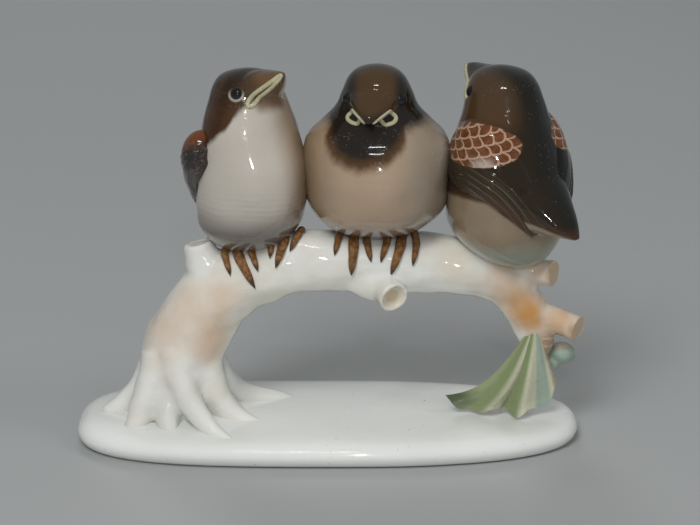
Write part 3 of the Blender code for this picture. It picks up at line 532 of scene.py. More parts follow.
LEAF_ROOT = np.array((65.4, -5.0, 39.5))
LEAF_RIM = (
    (37.5, -2.0, 13.8), (43.5, -4.5, 9.6), (50.0, -6.0, 10.0), (55.0, -5.0, 11.0), (59.8, -9.0, 9.2),
    (64.8, -6.0, 11.4), (69.6, -6.5, 12.2), (72.4, -2.0, 18.0),
)
LEAF_PLEATS = 3.0
LEAF_START = 0.10
LEAF_SAG = 6.4
PLEAT_DEPTH = 1.7
PLEAT_FROM = 0.2
LEAF_BELLY = 2.2
LEAF_SCALLOP = 0.5
LEAF_THICKNESS = 1.1
LEAF_EDGE = 0.35
STALK = ((66.8, 0.0, 35.0, 5.4), (66.8, 0.0, 31.5, 5.2), (66.4, -0.4, 28.6, 4.3), (65.8, -0.8, 26.0, 3.2))
BUD_LOBES = (
    ((74.6, 3.0, 26.4), (4.6, 4.0, 3.6)),
    ((71.4, 2.4, 23.6), (3.2, 3.0, 3.2)),
    ((77.0, 3.4, 25.4), (2.6, 2.6, 2.4)),
)
OLIVE = (0.22, 0.27, 0.13, 1.0)
DARK_OLIVE = (0.075, 0.10, 0.045, 1.0)
RIB_CREAM = (0.58, 0.57, 0.42, 1.0)
BLUE_GREEN = (0.31, 0.39, 0.31, 1.0)
STALK_BROWN = (0.40, 0.27, 0.17, 1.0)
STALK_CREAM = (0.56, 0.50, 0.36, 1.0)
BUD_DARK = (0.24, 0.32, 0.27, 1.0)
BUD_PALE = (0.36, 0.43, 0.36, 1.0)
BUD_TIP = (0.36, 0.27, 0.17, 1.0)

leaf_rows = np.linspace(0.0, 1.0, 46)
leaf_columns = np.linspace(0.0, 1.0, 150)
rim = smooth_rows(LEAF_RIM, 12)
rim_shares = np.linspace(0, 1, len(rim))
edge = np.stack([np.interp(leaf_columns, rim_shares, rim[:, k]) for k in range(3)], -1)
u = leaf_rows[:, None] * (1.0 - LEAF_START) + LEAF_START
v = leaf_columns[None, :]
leaf_points = LEAF_ROOT + (edge[None] - LEAF_ROOT) * u[..., None]
leaf_points[..., 2] -= LEAF_SAG * (1 - v) ** 1.5 * np.sin(np.pi * u)
pleat = np.cos(math.tau * LEAF_PLEATS * v)
leaf_points[..., 1] -= PLEAT_DEPTH * pleat * np.maximum(0.0, u - PLEAT_FROM)
leaf_points[..., 1] -= LEAF_BELLY * np.sin(np.pi * v) * np.sin(np.pi * np.minimum(u * 1.1, 1.0))
leaf_points[..., 2] += LEAF_SCALLOP * np.cos(math.tau * LEAF_PLEATS * 2 * v) * u ** 3
count_u, count_v = leaf_points.shape[:2]
grid = np.arange(count_u * count_v).reshape(count_u, count_v)
leaf_faces = np.stack([grid[:-1, :-1], grid[:-1, 1:], grid[1:, 1:], grid[1:, :-1]], -1)
leaf_faces = [tuple(face) for face in leaf_faces.reshape(-1, 4).tolist()]
leaf = mesh_object("leaf_sheet", [(leaf_points.reshape(-1, 3), leaf_faces)])
for name, values in (("rib", pleat), ("across", v), ("down", u)):
    set_field(leaf, name, np.broadcast_to(values, (count_u, count_v)).ravel())
thick = leaf.modifiers.new("thickness", "SOLIDIFY")
thick.thickness = LEAF_THICKNESS * MM
thick.offset = 0.0
soft = leaf.modifiers.new("soft_edge", "BEVEL")
soft.width = LEAF_EDGE * MM
soft.segments = 2
soft.limit_method = "ANGLE"

leaf_glaze, shader, paint = glaze("leaf_glaze")
across = paint.field("across") + (paint.cloud(5.0) - 0.5) * 0.05
down = paint.field("down")
rib = paint.field("rib")
green = across.rise(0.55, 0.8).mix(OLIVE, BLUE_GREEN)
colour = (rib.rise(-0.5, 0.7) * 0.95).mix(green, RIB_CREAM)
colour = (across.rise(0.42, 0.18) * 0.85).mix(colour, OLIVE)
colour = (across.rise(0.16, 0.02) * down.rise(0.6, 0.9)).mix(colour, DARK_OLIVE)
colour = (across.rise(0.955, 0.99) * 0.7).mix(colour, BARK_BROWN)
vein = paint.cloud(1.4, 2.0)
colour = (vein.rise(0.5, 0.8) * 0.18).mix(colour, DARK_OLIVE)
relief = paint.cloud(1.5) * 0.4 + paint.cloud(5.0)
fire(shader, paint, colour, relief, 0.12, paint.cloud(8.0) * 0.15 + 0.1)
hand_over(leaf, leaf_glaze, "leaf", "leaf")

stalk_glaze, shader, paint = glaze("stalk_glaze")
climb = paint.node("ShaderNodeSeparateXYZ", {}, {0: paint.place()}, 2)
bands = (climb * 2400.0 + paint.cloud(2.5) * 5.0).math("SINE").rise(0.1, 0.9)
colour = (bands * 0.6).mix(STALK_BROWN, STALK_CREAM)
colour = climb.rise(0.029, 0.025).mix(colour, RIB_CREAM)
fire(shader, paint, colour, bands, 0.2)
stalk = cast("leaf_stalk_casting", [loft(sweep(STALK, 36))], 0.5, 3)
hand_over(stalk, stalk_glaze, "stalk", "leaf_stalk")


def ball(centre, size, way=None):
    """Rings of an egg-shaped form, from pole to pole, that may be turned to face a way."""
    angle = np.arange(32) * math.tau / 32
    rings = []
    for a in np.linspace(0.02, math.pi - 0.02, 20):
        level = np.full(len(angle), -math.cos(a))
        rings.append(np.stack([np.cos(angle) * math.sin(a), np.sin(angle) * math.sin(a), level], -1))
    rings = np.array(rings) * np.array(size)
    if way is not None:
        turn = np.array(Vector(way).to_track_quat("Z", "Y").to_matrix())
        rings = rings @ turn.T
    return rings + np.array(centre)


bud_glaze, shader, paint = glaze("bud_glaze")
climb = paint.node("ShaderNodeSeparateXYZ", {}, {0: paint.place()}, 2)
colour = paint.cloud(3.0).rise(0.35, 0.7).mix(BUD_DARK, BUD_PALE)
colour = (climb.rise(0.0275, 0.0305) * 0.8).mix(colour, BUD_TIP)
fire(shader, paint, colour, paint.cloud(2.2), 0.25)
bud = cast("bud_casting", [loft(ball(centre, size)) for centre, size in BUD_LOBES], 0.4, 4)
hand_over(bud, bud_glaze, "bud", "bud")

# ---------------------------------------------------------------------------------------------
# The three fledglings: each body, head and tail is one hollow casting. The bisque is sprayed
# with soft-edged browns and greys, and the face is drawn by brush before the clear glaze.

BIRD_VOXEL = 0.45
BIRD_ROUNDS = 8
SKIN_SIDES = 150
# Stations of a bird's skin, from vent to crown: height over the perch, the section's centre in Y,
# its half-width, how far it reaches to the front and to the back, and its turn in degrees.
LEFT_SKIN = (
    (-3.0, 3.0, 0.0, 0.0, 0.0, 0.0), (-1.4, 2.5, 7.5, 7.0, 8.0, 0.0), (2.0, 2.0, 12.6, 12.4, 12.0, 0.0),
    (7.0, 1.5, 16.6, 15.8, 14.6, 0.0), (12.0, 1.0, 17.3, 17.2, 15.4, 0.0), (20.0, 0.5, 17.4, 18.5, 16.0, 0.0),
    (27.0, 0.5, 16.9, 18.0, 15.5, 4.0), (33.5, 1.0, 16.5, 15.8, 14.4, 8.0), (39.0, 1.0, 15.4, 13.6, 13.4, 12.0),
    (45.0, 1.0, 13.0, 11.8, 12.4, 16.0), (50.5, 1.0, 10.8, 9.8, 11.0, 20.0), (54.2, 0.5, 7.6, 7.4, 8.2, 20.0),
    (56.2, 0.5, 0.0, 0.0, 0.0, 20.0),
)
MIDDLE_SKIN = (
    (-0.2, 1.0, 0.0, 0.0, 0.0, 0.0), (1.2, 1.0, 11.5, 10.0, 10.5, 0.0), (4.2, 1.0, 17.2, 16.0, 14.5, 0.0),
    (10.0, 0.5, 21.6, 20.5, 17.5, 0.0), (20.0, 0.0, 22.7, 22.5, 18.5, 0.0), (28.5, 0.0, 22.6, 20.5, 17.0, 0.0),
    (33.0, 0.0, 20.9, 17.5, 14.8, 0.0), (36.8, -0.5, 17.0, 15.0, 12.8, 0.0), (41.0, -1.0, 13.0, 13.0, 12.0, 0.0),
    (46.0, -1.5, 10.9, 12.0, 11.5, 0.0), (50.5, -1.5, 8.6, 9.6, 9.6, 0.0), (53.0, -1.5, 5.4, 6.0, 6.6, 0.0),
    (54.2, -1.5, 0.0, 0.0, 0.0, 0.0),
)
RIGHT_SKIN = (
    (-8.0, 5.0, 0.0, 0.0, 0.0, 0.0), (-6.6, 5.0, 8.6, 8.6, 8.6, 0.0), (-2.0, 4.0, 15.2, 17.2, 12.6, 0.0),
    (4.0, 2.8, 18.8, 21.4, 15.2, 0.0), (12.0, 1.6, 19.4, 20.6, 16.4, 0.0), (22.0, 1.0, 18.6, 18.2, 16.4, 0.0),
    (30.0, 0.0, 17.4, 16.6, 15.4, 0.0), (34.5, -0.5, 15.8, 14.8, 14.4, 0.0), (38.5, -1.0, 13.8, 13.4, 13.4, 0.0),
    (43.5, -1.5, 12.0, 12.4, 12.2, 0.0), (48.5, -2.0, 10.2, 11.0, 10.6, 0.0), (51.8, -2.5, 7.0, 8.0, 7.4, 0.0),
    (53.6, -2.5, 0.0, 0.0, 0.0, 0.0),
)
# A folded wing from the shoulder to the tip: turn from the breast, height, half-width, relief.
LEFT_WING = (
    (97.0, 35.0, 2.5, 1.4), (104.0, 33.6, 6.0, 4.6), (114.0, 30.4, 7.2, 5.8), (126.0, 25.4, 7.0, 4.0),
    (138.0, 20.0, 5.8, 2.4), (150.0, 14.5, 4.2, 1.8), (161.0, 9.0, 2.2, 1.0),
)
MIDDLE_WING = (
    (118.0, 30.0, 2.5, 0.6), (124.0, 29.0, 6.0, 1.6), (133.0, 26.0, 7.6, 2.4), (143.0, 21.0, 7.4, 2.4),
    (153.0, 15.4, 6.0, 2.0), (161.0, 10.4, 4.2, 1.6), (168.0, 6.4, 2.0, 1.0),
)
RIGHT_WING = (
    (50.0, 29.0, 3.0, 0.4), (62.0, 29.5, 8.0, 1.1), (78.0, 29.5, 10.5, 1.7), (96.0, 29.0, 11.5, 1.9),
    (115.0, 27.2, 11.2, 2.0), (136.0, 22.5, 9.0, 1.9), (156.0, 14.5, 5.8, 1.6), (171.0, 5.5, 2.2, 1.0),
)
# The line under which a bird is pale: turn from the breast, height.
LEFT_LINE = (
    (0, 52.0), (20, 51.0), (42, 49.0), (50, 47.6), (58, 46.0), (68, 43.5), (74, 40.0), (85, 36.5),
    (96, 33.0), (101, 28.0), (102, 18.0), (112, 13.0), (130, 8.0), (150, 4.0), (180, 0.0),
)
MIDDLE_LINE = (
    (0, 25.7), (10, 26.2), (22, 27.7), (34, 30.7), (41, 33.2), (47, 36.3), (60, 37.6), (90, 38.0),
    (112, 36.0), (122, 30.0), (128, 16.0), (140, 5.0), (180, -2.0),
)
RIGHT_LINE = (
    (0, 36.0), (28, 30.0), (42, 18.0), (53, 14.5), (80, 15.5), (118, 15.5), (130, 13.5), (142, 10.5),
    (155, 6.0), (165, 2.0), (180, -2.0),
)


def section(turn, centre, width, front, back, twist):
    """X and Y of a bird's section at turns from the breast, in degrees."""
    a = np.radians(turn)
    x = width * np.sin(a)
    y = centre - np.where(np.cos(a) > 0, front, back) * np.cos(a)
    t = np.radians(twist)
    return x * np.cos(t) - y * np.sin(t), x * np.sin(t) + y * np.cos(t)


class Sparrow:
    """A fledgling's place on the branch and the skin that its pieces share."""

    def __init__(self, name, x, perch, yaw, stations, wing, line, lean=0.0):
        self.name = name
        self.place = np.array((x, 0.0, perch))
        self.yaw = math.radians(yaw)
        self.stations = stations
        self.fine = smooth_rows(stations, 16)
        self.wing = smooth_rows(wing, 10)
        self.line = np.array(line, float)
        self.lean = lean

    def out_to_row(self, points):
        """Points of the bird's own frame, in the row frame."""
        c, s = math.cos(self.yaw), math.sin(self.yaw)
        points = np.asarray(points, float)
        x, y, z = points[..., 0], points[..., 1], points[..., 2]
        return np.stack([x * c - y * s, x * s + y * c, z], -1) + self.place

    def into_own(self, points):
        """Points of the row frame, in the bird's own frame."""
        c, s = math.cos(self.yaw), math.sin(self.yaw)
        moved = np.asarray(points, float) - self.place
        x, y, z = moved[..., 0], moved[..., 1], moved[..., 2]
        return np.stack([x * c + y * s, y * c - x * s, z], -1)

    def skin(self, turn, height):
        """Points of the skin at turns from the breast, in degrees, and heights."""
        turn, height = np.broadcast_arrays(np.asarray(turn, float), np.asarray(height, float))
        row = [np.interp(height, self.fine[:, 0], self.fine[:, k]) for k in range(1, 6)]
        return np.stack([*section(turn, *row), height], -1)

    def outward(self, turn, height):
        """The skin's outward directions."""
        side = self.skin(turn + 1.0, height) - self.skin(turn - 1.0, height)
        up = self.skin(turn, height + 0.3) - self.skin(turn, height - 0.3)
        way = np.cross(side, up)
        return way / np.linalg.norm(way, axis=-1, keepdims=True)

    def turn_of(self, points):
        """The turn from the breast of points in the bird's own frame."""
        twist = np.radians(np.interp(points[..., 2], self.fine[:, 0], self.fine[:, 5]))
        centre = np.interp(points[..., 2], self.fine[:, 0], self.fine[:, 1])
        x = points[..., 0] * np.cos(twist) + points[..., 1] * np.sin(twist)
        y = points[..., 1] * np.cos(twist) - points[..., 0] * np.sin(twist)
        return np.degrees(np.arctan2(x, centre - y))

    def rings(self):
        """Rings of the whole skin."""
        turn = np.arange(SKIN_SIDES) * 360.0 / SKIN_SIDES
        rings = []
        for height, *row in smooth_rows(self.stations, 12)[1:-1]:
            rings.append(np.stack([*section(turn, *row), np.full(SKIN_SIDES, height)], -1))
        return np.array(rings)


left = Sparrow("left_bird", -23.4, 64.0, 35.0, LEFT_SKIN, LEFT_WING, LEFT_LINE)
middle = Sparrow("middle_bird", 15.4, 67.5, -3.0, MIDDLE_SKIN, MIDDLE_WING, MIDDLE_LINE, 11.0)
right = Sparrow("right_bird", 55.6, 67.0, -140.0, RIGHT_SKIN, RIGHT_WING, RIGHT_LINE)

# A beak grows out of the head: its section's centre in Y and Z, half-width and half-height.
BEAKS = {
    left: (
        (-2.0, 50.0, 8.8, 5.6), (-6.8, 52.0, 7.6, 4.9), (-10.2, 53.8, 5.6, 3.6),
        (-13.2, 55.6, 3.0, 2.1), (-15.4, 56.9, 0.8, 0.7),
    ),
    middle: (
        (-4.0, 46.4, 8.0, 5.6), (-10.0, 45.0, 7.6, 4.4), (-14.6, 43.4, 5.6, 3.1),
        (-18.2, 41.9, 3.0, 2.0), (-20.8, 40.6, 0.9, 0.8),
    ),
    right: (
        (-4.0, 47.0, 8.4, 5.6), (-9.5, 48.2, 7.0, 4.6), (-13.4, 49.4, 4.8, 3.2),
        (-16.2, 50.4, 2.6, 2.0), (-18.2, 51.2, 0.6, 0.6),
    ),
}
# A tail: Y and Z of its middle line, half-width and half-thickness.
TAILS = {
    left: (
        (8.0, 8.0, 7.0, 4.0), (12.0, 4.0, 6.4, 2.8), (16.0, 0.4, 5.8, 2.0),
        (20.5, -3.6, 5.4, 1.2), (24.5, -7.0, 4.6, 0.7),
    ),
    middle: (
        (9.0, 9.0, 7.5, 4.0), (15.0, 4.5, 7.0, 2.8), (20.0, 0.6, 6.6, 1.9),
        (26.0, -3.6, 6.4, 1.2), (29.4, -6.0, 5.4, 0.7),
    ),
    right: (
        (6.0, 15.0, 13.0, 12.5), (13.0, 13.6, 11.6, 10.2), (18.5, 11.6, 9.4, 7.4),
        (23.5, 9.4, 6.8, 4.6), (27.5, 7.6, 4.2, 2.4), (31.4, 5.8, 1.2, 0.6),
    ),
}
EYES = {left: (79.0, 50.6), middle: (52.0, 45.4), right: (68.0, 46.5)}
# How far the face looks to the bird's right, in degrees.
GLANCE = {left: -8.0, middle: 5.0, right: 0.0}


def turned(points, angle):
    """Points of a bird's face turned to its right by an angle in degrees."""
    a = math.radians(-angle)
    x, y, z = points[..., 0], points[..., 1], points[..., 2]
    return np.stack([x * math.cos(a) - y * math.sin(a), x * math.sin(a) + y * math.cos(a), z], -1)


def flat_sweep(stations, power=1.0):
    """Rings of a beak or a tail through stations of Y, Z, half-width and half-height."""
    rows = smooth_rows(stations, 10)
    angle = np.arange(48) * math.tau / 48
    cos, sin = np.cos(angle), np.sin(angle)
    across = np.sign(cos) * np.abs(cos) ** power
    over = np.sign(sin) * np.abs(sin) ** power
    rings = []
    for i, row in enumerate(rows):
        step = rows[min(i + 1, len(rows) - 1)] - rows[max(i - 1, 0)]
        size = math.hypot(step[0], step[1])
        up = (-step[1] / size, step[0] / size)
        up = up if up[1] > 0 else (-up[0], -up[1])
        rise = over * row[3]
        rings.append(np.stack([across * row[2], row[0] + rise * up[0], row[1] + rise * up[1]], -1))
    return np.array(rings)


# How far a wing's middle line runs on past its ends, in lengths of its end spans.
LINE_BEFORE = -4.0
LINE_BEYOND = 1.5


def nearest_on_line(points, line):
    """For each point: how far along a line it lies, its offset from it and the nearest span."""
    best = np.full(len(points), 1e9)
    along = np.zeros(len(points))
    offset = np.zeros((len(points), 3))
    index = np.zeros(len(points), int)
    start = 0.0
    for i, (a, b) in enumerate(zip(line, line[1:])):
        span = b - a
        length = np.linalg.norm(span)
        share = (points - a) @ span / length ** 2
        first = LINE_BEFORE if i == 0 else 0.0
        last = LINE_BEYOND if i == len(line) - 2 else 1.0
        share = np.clip(share, first, last)
        away = points - a - share[:, None] * span
        far = np.linalg.norm(away, axis=1)
        closer = far < best
        best[closer] = far[closer]
        along[closer] = start + share[closer] * length
        offset[closer] = away[closer]
        index[closer] = i
        start += length
    return along, offset, index


# The right bird is dark over its tail: from how far back, how far round its edge, how sharply.
VANE_FROM = 12.5
VANE_UNDER = 0.25
VANE_EDGE = 1.5


def paint_fields(bird, piece, is_wing):
    """Gives a bird's piece the numbers its glaze is drawn with."""
    set_field(piece, "wing", np.full(len(piece.data.vertices), is_wing))
    own = bird.into_own(points_of(piece)[0])
    turn = bird.turn_of(own)
    height = own[:, 2]
    shifted = np.abs((turn + bird.lean + 180.0) % 360.0 - 180.0)
    set_field(piece, "turn", np.abs(turn))
    set_field(piece, "height", height)
    set_field(piece, "side", own[:, 0])
    set_field(piece, "front", -own[:, 1])
    cap = height - np.interp(shifted, bird.line[:, 0], bird.line[:, 1])
    if bird is right:
        vane = np.array(TAILS[bird])
        hem = np.interp(own[:, 1], vane[:, 0], vane[:, 1] - VANE_UNDER * vane[:, 3])
        cap = np.where(own[:, 1] > VANE_FROM, np.minimum(cap, (height - hem) * VANE_EDGE), cap)
    set_field(piece, "cap", cap)
    mirrored = bird.skin(np.abs(turn), height)
    line = bird.skin(bird.wing[:, 0], bird.wing[:, 1])
    along, offset, index = nearest_on_line(mirrored, line)
    way = line[np.minimum(index + 1, len(line) - 1)] - line[index]
    out = bird.outward(bird.wing[index, 0], bird.wing[index, 1])
    up = np.cross(way, out)
    up = up * np.sign(up[:, 2:]) / np.linalg.norm(up, axis=1, keepdims=True)
    set_field(piece, "along", along)
    set_field(piece, "across", (offset * up).sum(1))
    eye_turn, eye_height = EYES[bird]
    eyes = [turned(bird.skin(side * eye_turn, eye_height), GLANCE[bird]) for side in (-1.0, 1.0)]
    set_field(piece, "eye", np.minimum(*[np.linalg.norm(own - eye, axis=1) for eye in eyes]))


# Across a wing: where its crest lies from -1 to 1, how the quills are spaced and how high each
# steps up, how far its edges curl in, and how far its underside is sunk into the body.
WING_CREST = -0.35
QUILL_SPACING = 1.9
QUILL_STEP = 0.32
QUILLS_BELOW = 0.25
WING_SHOULDER_CURL = 0.9
WING_HEM_LIFT = 0.3
WING_SUNK = 1.4


def wing_mesh(bird, side):
    """A folded wing: a low arched sheet that hugs the body, stepped where the quills overlap."""
    rows = bird.wing
    line = bird.skin(side * rows[:, 0], rows[:, 1])
    across_steps = np.linspace(-1.0, 1.0, 64)
    top = []
    low = []
    for i, row in enumerate(rows):
        way = line[min(i + 1, len(rows) - 1)] - line[max(i - 1, 0)]
        out = bird.outward(side * row[0], row[1])
        up = np.cross(way, out)
        up = up / np.linalg.norm(up)
        up = up if up[2] > 0 else -up
        spots = line[i] + np.outer(across_steps * row[2], up)
        turn = bird.turn_of(spots)
        share = i / (len(rows) - 1)
        above = across_steps > WING_CREST
        crest = (across_steps - WING_CREST) / np.where(above, 1.0 - WING_CREST, 1.0 + WING_CREST)
        edge = np.maximum(0.0, 1 - np.abs(crest) ** np.where(above, 2.0, 3.0)) ** 0.5
        hem = np.where(across_steps > 0, -WING_SHOULDER_CURL * across_steps ** 2, WING_HEM_LIFT)
        rise = hem * (1 - edge) + row[3] * edge
        quill = (-across_steps * row[2] / QUILL_SPACING) % 1.0
        fade = np.clip((QUILLS_BELOW - across_steps) * 3, 0, 1) * min(1.0, share * 3)
        step = (1.0 - quill) * QUILL_STEP * fade
        skin = bird.skin(turn, spots[:, 2])
        way_out = bird.outward(turn, spots[:, 2])
        top.append(skin + way_out * (rise + step * edge)[:, None])
        low.append(skin - way_out * WING_SUNK)
    rings = np.concatenate([np.array(top), np.array(low)[:, ::-1]], 1)
    points, faces = loft(rings)
    return bird.out_to_row(points), faces


# The rump, where the tail runs into the body, is smoothed longest: from and to where it lies
# behind the middle, its height, how softly that fades, and for how many rounds.
RUMP = (5.0, 25.0)
RUMP_TOP = 32.0
RUMP_FADE = 5.0
RUMP_ROUNDS = 90
# The unevenness of hand-finished clay: how closely it follows on itself, and its depth.
RIPPLE_PITCH = 0.1
RIPPLE_DEPTH = 0.35

castings = {}
wings = {}
for bird in (left, middle, right):
    beak_points, beak_faces = loft(flat_sweep(BEAKS[bird]))
    parts = [loft(bird.rings()), (turned(beak_points, GLANCE[bird]), beak_faces)]
    parts.append(loft(flat_sweep(TAILS[bird], power=0.85)))
    parts = [(bird.out_to_row(part_points), part_faces) for part_points, part_faces in parts]
    casting = cast(bird.name + "_casting", parts, BIRD_VOXEL, BIRD_ROUNDS)
    own = bird.into_own(points_of(casting)[0])
    rump = ramp(own[:, 1], RUMP[0], RUMP_FADE) * ramp(-own[:, 2], -RUMP_TOP, RUMP_FADE)
    ease_where(casting, rump * ramp(-own[:, 1], -RUMP[1], RUMP_FADE), RUMP_ROUNDS)
    points, normals = points_of(casting)
    own = bird.into_own(points)
    ripple = np.array([noise.noise(Vector(point * RIPPLE_PITCH)) for point in own]) * RIPPLE_DEPTH
    move_points(casting, points + normals * ripple[:, None])
    paint_fields(bird, casting, 0.0)
    castings[bird] = casting
    wings[bird] = []
    for label, side in (("_left_wing", 1.0), ("_right_wing", -1.0)):
        wing = mesh_object(bird.name + label + "_sheet", [wing_mesh(bird, side)])
        paint_fields(bird, wing, 1.0)
        wings[bird].append((wing, bird.name + label))


def feather_scales(along, across, length, width):
    """1 on the pale rims of rounded feathers that overlap along the wing, and their relief."""
    reach = length * 1.28
    lanes = []
    for lane in (0.0, 1.0):
        ahead = (along - lane * length).math("FLOORED_MODULO", 2 * length)
        beside = (across - lane * width / 2).math("FLOORED_MODULO", width) - width / 2
        lanes.append((ahead, reach - (ahead * ahead + beside * beside * 2.9).math("SQRT")))
    first_is_far = lanes[0][0].math("GREATER_THAN", lanes[1][0])
    far = lanes[0][1] * first_is_far + lanes[1][1] * (1 - first_is_far)
    near = lanes[1][1] * first_is_far + lanes[0][1] * (1 - first_is_far)
    covered = far.math("GREATER_THAN", 0.0)
    inside = far * covered + near * (1 - covered)
    return inside.rise(0.85, 0.45) * inside.rise(-0.05, 0.08), inside


def quill_lines(across, thin):
    """1 on fine lines that run along the wing."""
    place = (across / QUILL_SPACING).math("FRACT") - 0.5
    return place.math("ABSOLUTE").rise(thin / QUILL_SPACING, thin / QUILL_SPACING * 0.35)


def sprayed(paint):
    """How much an airbrushed edge wanders, in millimetres."""
    return (paint.cloud(4.0, 2.0) - 0.5) * 2.4 + (paint.cloud(0.5, 2.0) - 0.5) * 1.0


def sparkle_on(paint):
    """1 on fine pale specks in the glaze, gathered in drifts."""
    return paint.cloud(0.45, 1.0).rise(0.68, 0.72) * paint.cloud(7.0).rise(0.5, 0.62)


def fields(paint, *names):
    """The numbers that a bird's pieces carry at each of their points."""
    return [paint.field(name) for name in names]


# The left bird: chestnut cap and nape, a pale grey breast, a warm flank, a rust-red wing.
PALE_BREAST = (0.50, 0.46, 0.40, 1.0)
WARM_FLANK = (0.30, 0.21, 0.135, 1.0)
VENT_SHADE = (0.13, 0.112, 0.098, 1.0)
BACK_SHADE = (0.20, 0.175, 0.15, 1.0)
RIPPLE_PALE = (0.66, 0.64, 0.58, 1.0)
CHESTNUT = (0.042, 0.014, 0.003, 1.0)
DARK_CROWN = (0.020, 0.010, 0.003, 1.0)
BROW = (0.085, 0.052, 0.024, 1.0)
CHESTNUT_DRIFT = (0.085, 0.036, 0.012, 1.0)
CHIN_BROWN = (0.14, 0.075, 0.035, 1.0)
SLATE_QUILL = (0.022, 0.021, 0.022, 1.0)
RUST = (0.15, 0.045, 0.012, 1.0)
RUST_DRIFT = (0.25, 0.10, 0.035, 1.0)
RUST_RIM = (0.36, 0.20, 0.11, 1.0)
EYE_RING = (0.38, 0.36, 0.30, 1.0)
PALE_SPARKLE = (0.55, 0.50, 0.42, 1.0)
left_glaze, shader, paint = glaze("left_bird_glaze")
turn, height, side, front, cap = fields(paint, "turn", "height", "side", "front", "cap")
along, across, eye, wing_only = fields(paint, "along", "across", "eye", "wing")
wander = sprayed(paint)
belly = side.rise(-3.0, 10.0).mix(PALE_BREAST, WARM_FLANK)
belly = (height.rise(17.0, 5.0) * 0.95).mix(belly, VENT_SHADE)
belly = (turn.rise(52.0, 95.0) * height.rise(20.0, 8.0) * 0.5).mix(belly, BACK_SHADE)
waves = (height * 3.4 + paint.cloud(9.0) * 9.0).math("SINE")
ripple = waves * height.rise(24.0, 17.0) * height.rise(9.0, 13.0)
belly = (ripple.rise(0.2, 1.0) * 0.07).mix(belly, RIPPLE_PALE)
brown = height.rise(44.0, 53.0).mix(CHESTNUT, DARK_CROWN)
brown = (front.rise(3.0, 9.0) * 0.7).mix(brown, BROW)
brown = (paint.cloud(5.0).rise(0.4, 0.75) * 0.5).mix(brown, CHESTNUT_DRIFT)
colour = ((cap + wander).rise(-1.9, 1.7)).mix(belly, brown)
chin = front.rise(6.0, 9.5) * (height + wander * 0.4).rise(43.5, 47.0)
chin = chin * (side - 1.5).math("ABSOLUTE").rise(7.5, 4.0)
colour = (chin * 0.85).mix(colour, CHIN_BROWN)
wing_tone = across.rise(-2.5, 3.5).mix(SLATE_QUILL, RUST)
wing_tone = (paint.cloud(1.6).rise(0.5, 0.75) * 0.4).mix(wing_tone, RUST_DRIFT)
near_wing = along.rise(-1.0, 2.5) * across.math("ABSOLUTE").rise(9.0, 7.0) * turn.rise(96.0, 104.0)
on_wing = wing_only.math("MAXIMUM", near_wing)
colour = on_wing.mix(colour, wing_tone)
rims = feather_scales(along, across, 2.3, 3.2)[0]
colour = (rims * on_wing * turn.rise(112.0, 120.0) * 0.5).mix(colour, RUST_RIM)
ring = eye.rise(1.7, 1.9) * eye.rise(2.8, 2.4) * height.rise(52.0, 49.5)
colour = (ring * 0.8).mix(colour, EYE_RING)
sparkle = sparkle_on(paint)
colour = (sparkle * 0.45).mix(colour, PALE_SPARKLE)
fire(shader, paint, colour, paint.cloud(2.4) + sparkle * 0.3 + ripple * 0.10, 0.14, paint.cloud(6.0) * 0.14 + 0.08)

# The middle bird: a dark brown head that runs down into a black bib, and a warm beige belly.
BEIGE_BELLY = (0.40, 0.295, 0.205, 1.0)
GREY_BEIGE = (0.27, 0.22, 0.165, 1.0)
TOASTED_FLANK = (0.22, 0.15, 0.085, 1.0)
UNDER_BELLY_SHADE = (0.105, 0.072, 0.056, 1.0)
PALE_SHOULDER = (0.42, 0.38, 0.32, 1.0)
BLACK_BROWN = (0.010, 0.009, 0.006, 1.0)
CROWN_BROWN = (0.065, 0.036, 0.014, 1.0)
HEAD_SIDE = (0.012, 0.009, 0.005, 1.0)
BIB = (0.014, 0.010, 0.008, 1.0)
BIB_FRINGE = (0.085, 0.042, 0.016, 1.0)
WING_DARK = (0.018, 0.014, 0.012, 1.0)
WING_RUST = (0.11, 0.036, 0.011, 1.0)
SCALE_RIM = (0.40, 0.24, 0.15, 1.0)
QUILL_BROWN = (0.14, 0.08, 0.04, 1.0)
TAN_SPARKLE = (0.50, 0.42, 0.34, 1.0)
middle_glaze, shader, paint = glaze("middle_bird_glaze")
turn, height, side, front, cap = fields(paint, "turn", "height", "side", "front", "cap")
along, across, wing_only = fields(paint, "along", "across", "wing")
wander = sprayed(paint)
belly = side.rise(2.0, 17.0).mix(BEIGE_BELLY, GREY_BEIGE)
belly = (side.rise(-8.0, -20.0) * 0.7).mix(belly, TOASTED_FLANK)
# Painted shade: the belly darkens towards its bottom, where it sits over the branch.
belly = ((height + wander).rise(9.0, 2.5) * 0.9).mix(belly, UNDER_BELLY_SHADE)
belly = (side.rise(17.0, 21.5) * height.rise(20.0, 30.0) * 0.5).mix(belly, PALE_SHOULDER)
head = front.rise(-2.0, 9.0).mix(BLACK_BROWN, CROWN_BROWN)
head = (side.math("ABSOLUTE").rise(4.5, 8.0)).mix(head, HEAD_SIDE)
head = (height.rise(44.0, 40.5)).mix(head, BIB)
fringe = (cap + wander * 1.2).rise(5.0, 1.0)
head = (fringe * height.rise(39.0, 34.0)).mix(head, BIB_FRINGE)
colour = ((cap + wander).rise(-2.2, 1.8)).mix(belly, head)
wing_tone = across.rise(-2.0, 4.0).mix(WING_DARK, WING_RUST)
near_wing = along.rise(-1.0, 2.5) * across.math("ABSOLUTE").rise(8.6, 6.8) * turn.rise(112.0, 120.0)
on_wing = wing_only.math("MAXIMUM", near_wing)
rims = feather_scales(along, across, 2.3, 3.2)[0]
wing_tone = (rims * across.rise(-1.0, 1.5) * along.rise(18.0, 14.0) * 0.8).mix(wing_tone, SCALE_RIM)
quills = quill_lines(across, 0.3) * across.rise(0.5, -1.5)
wing_tone = (quills * 0.5).mix(wing_tone, QUILL_BROWN)
colour = on_wing.mix(colour, wing_tone)
sparkle = sparkle_on(paint)
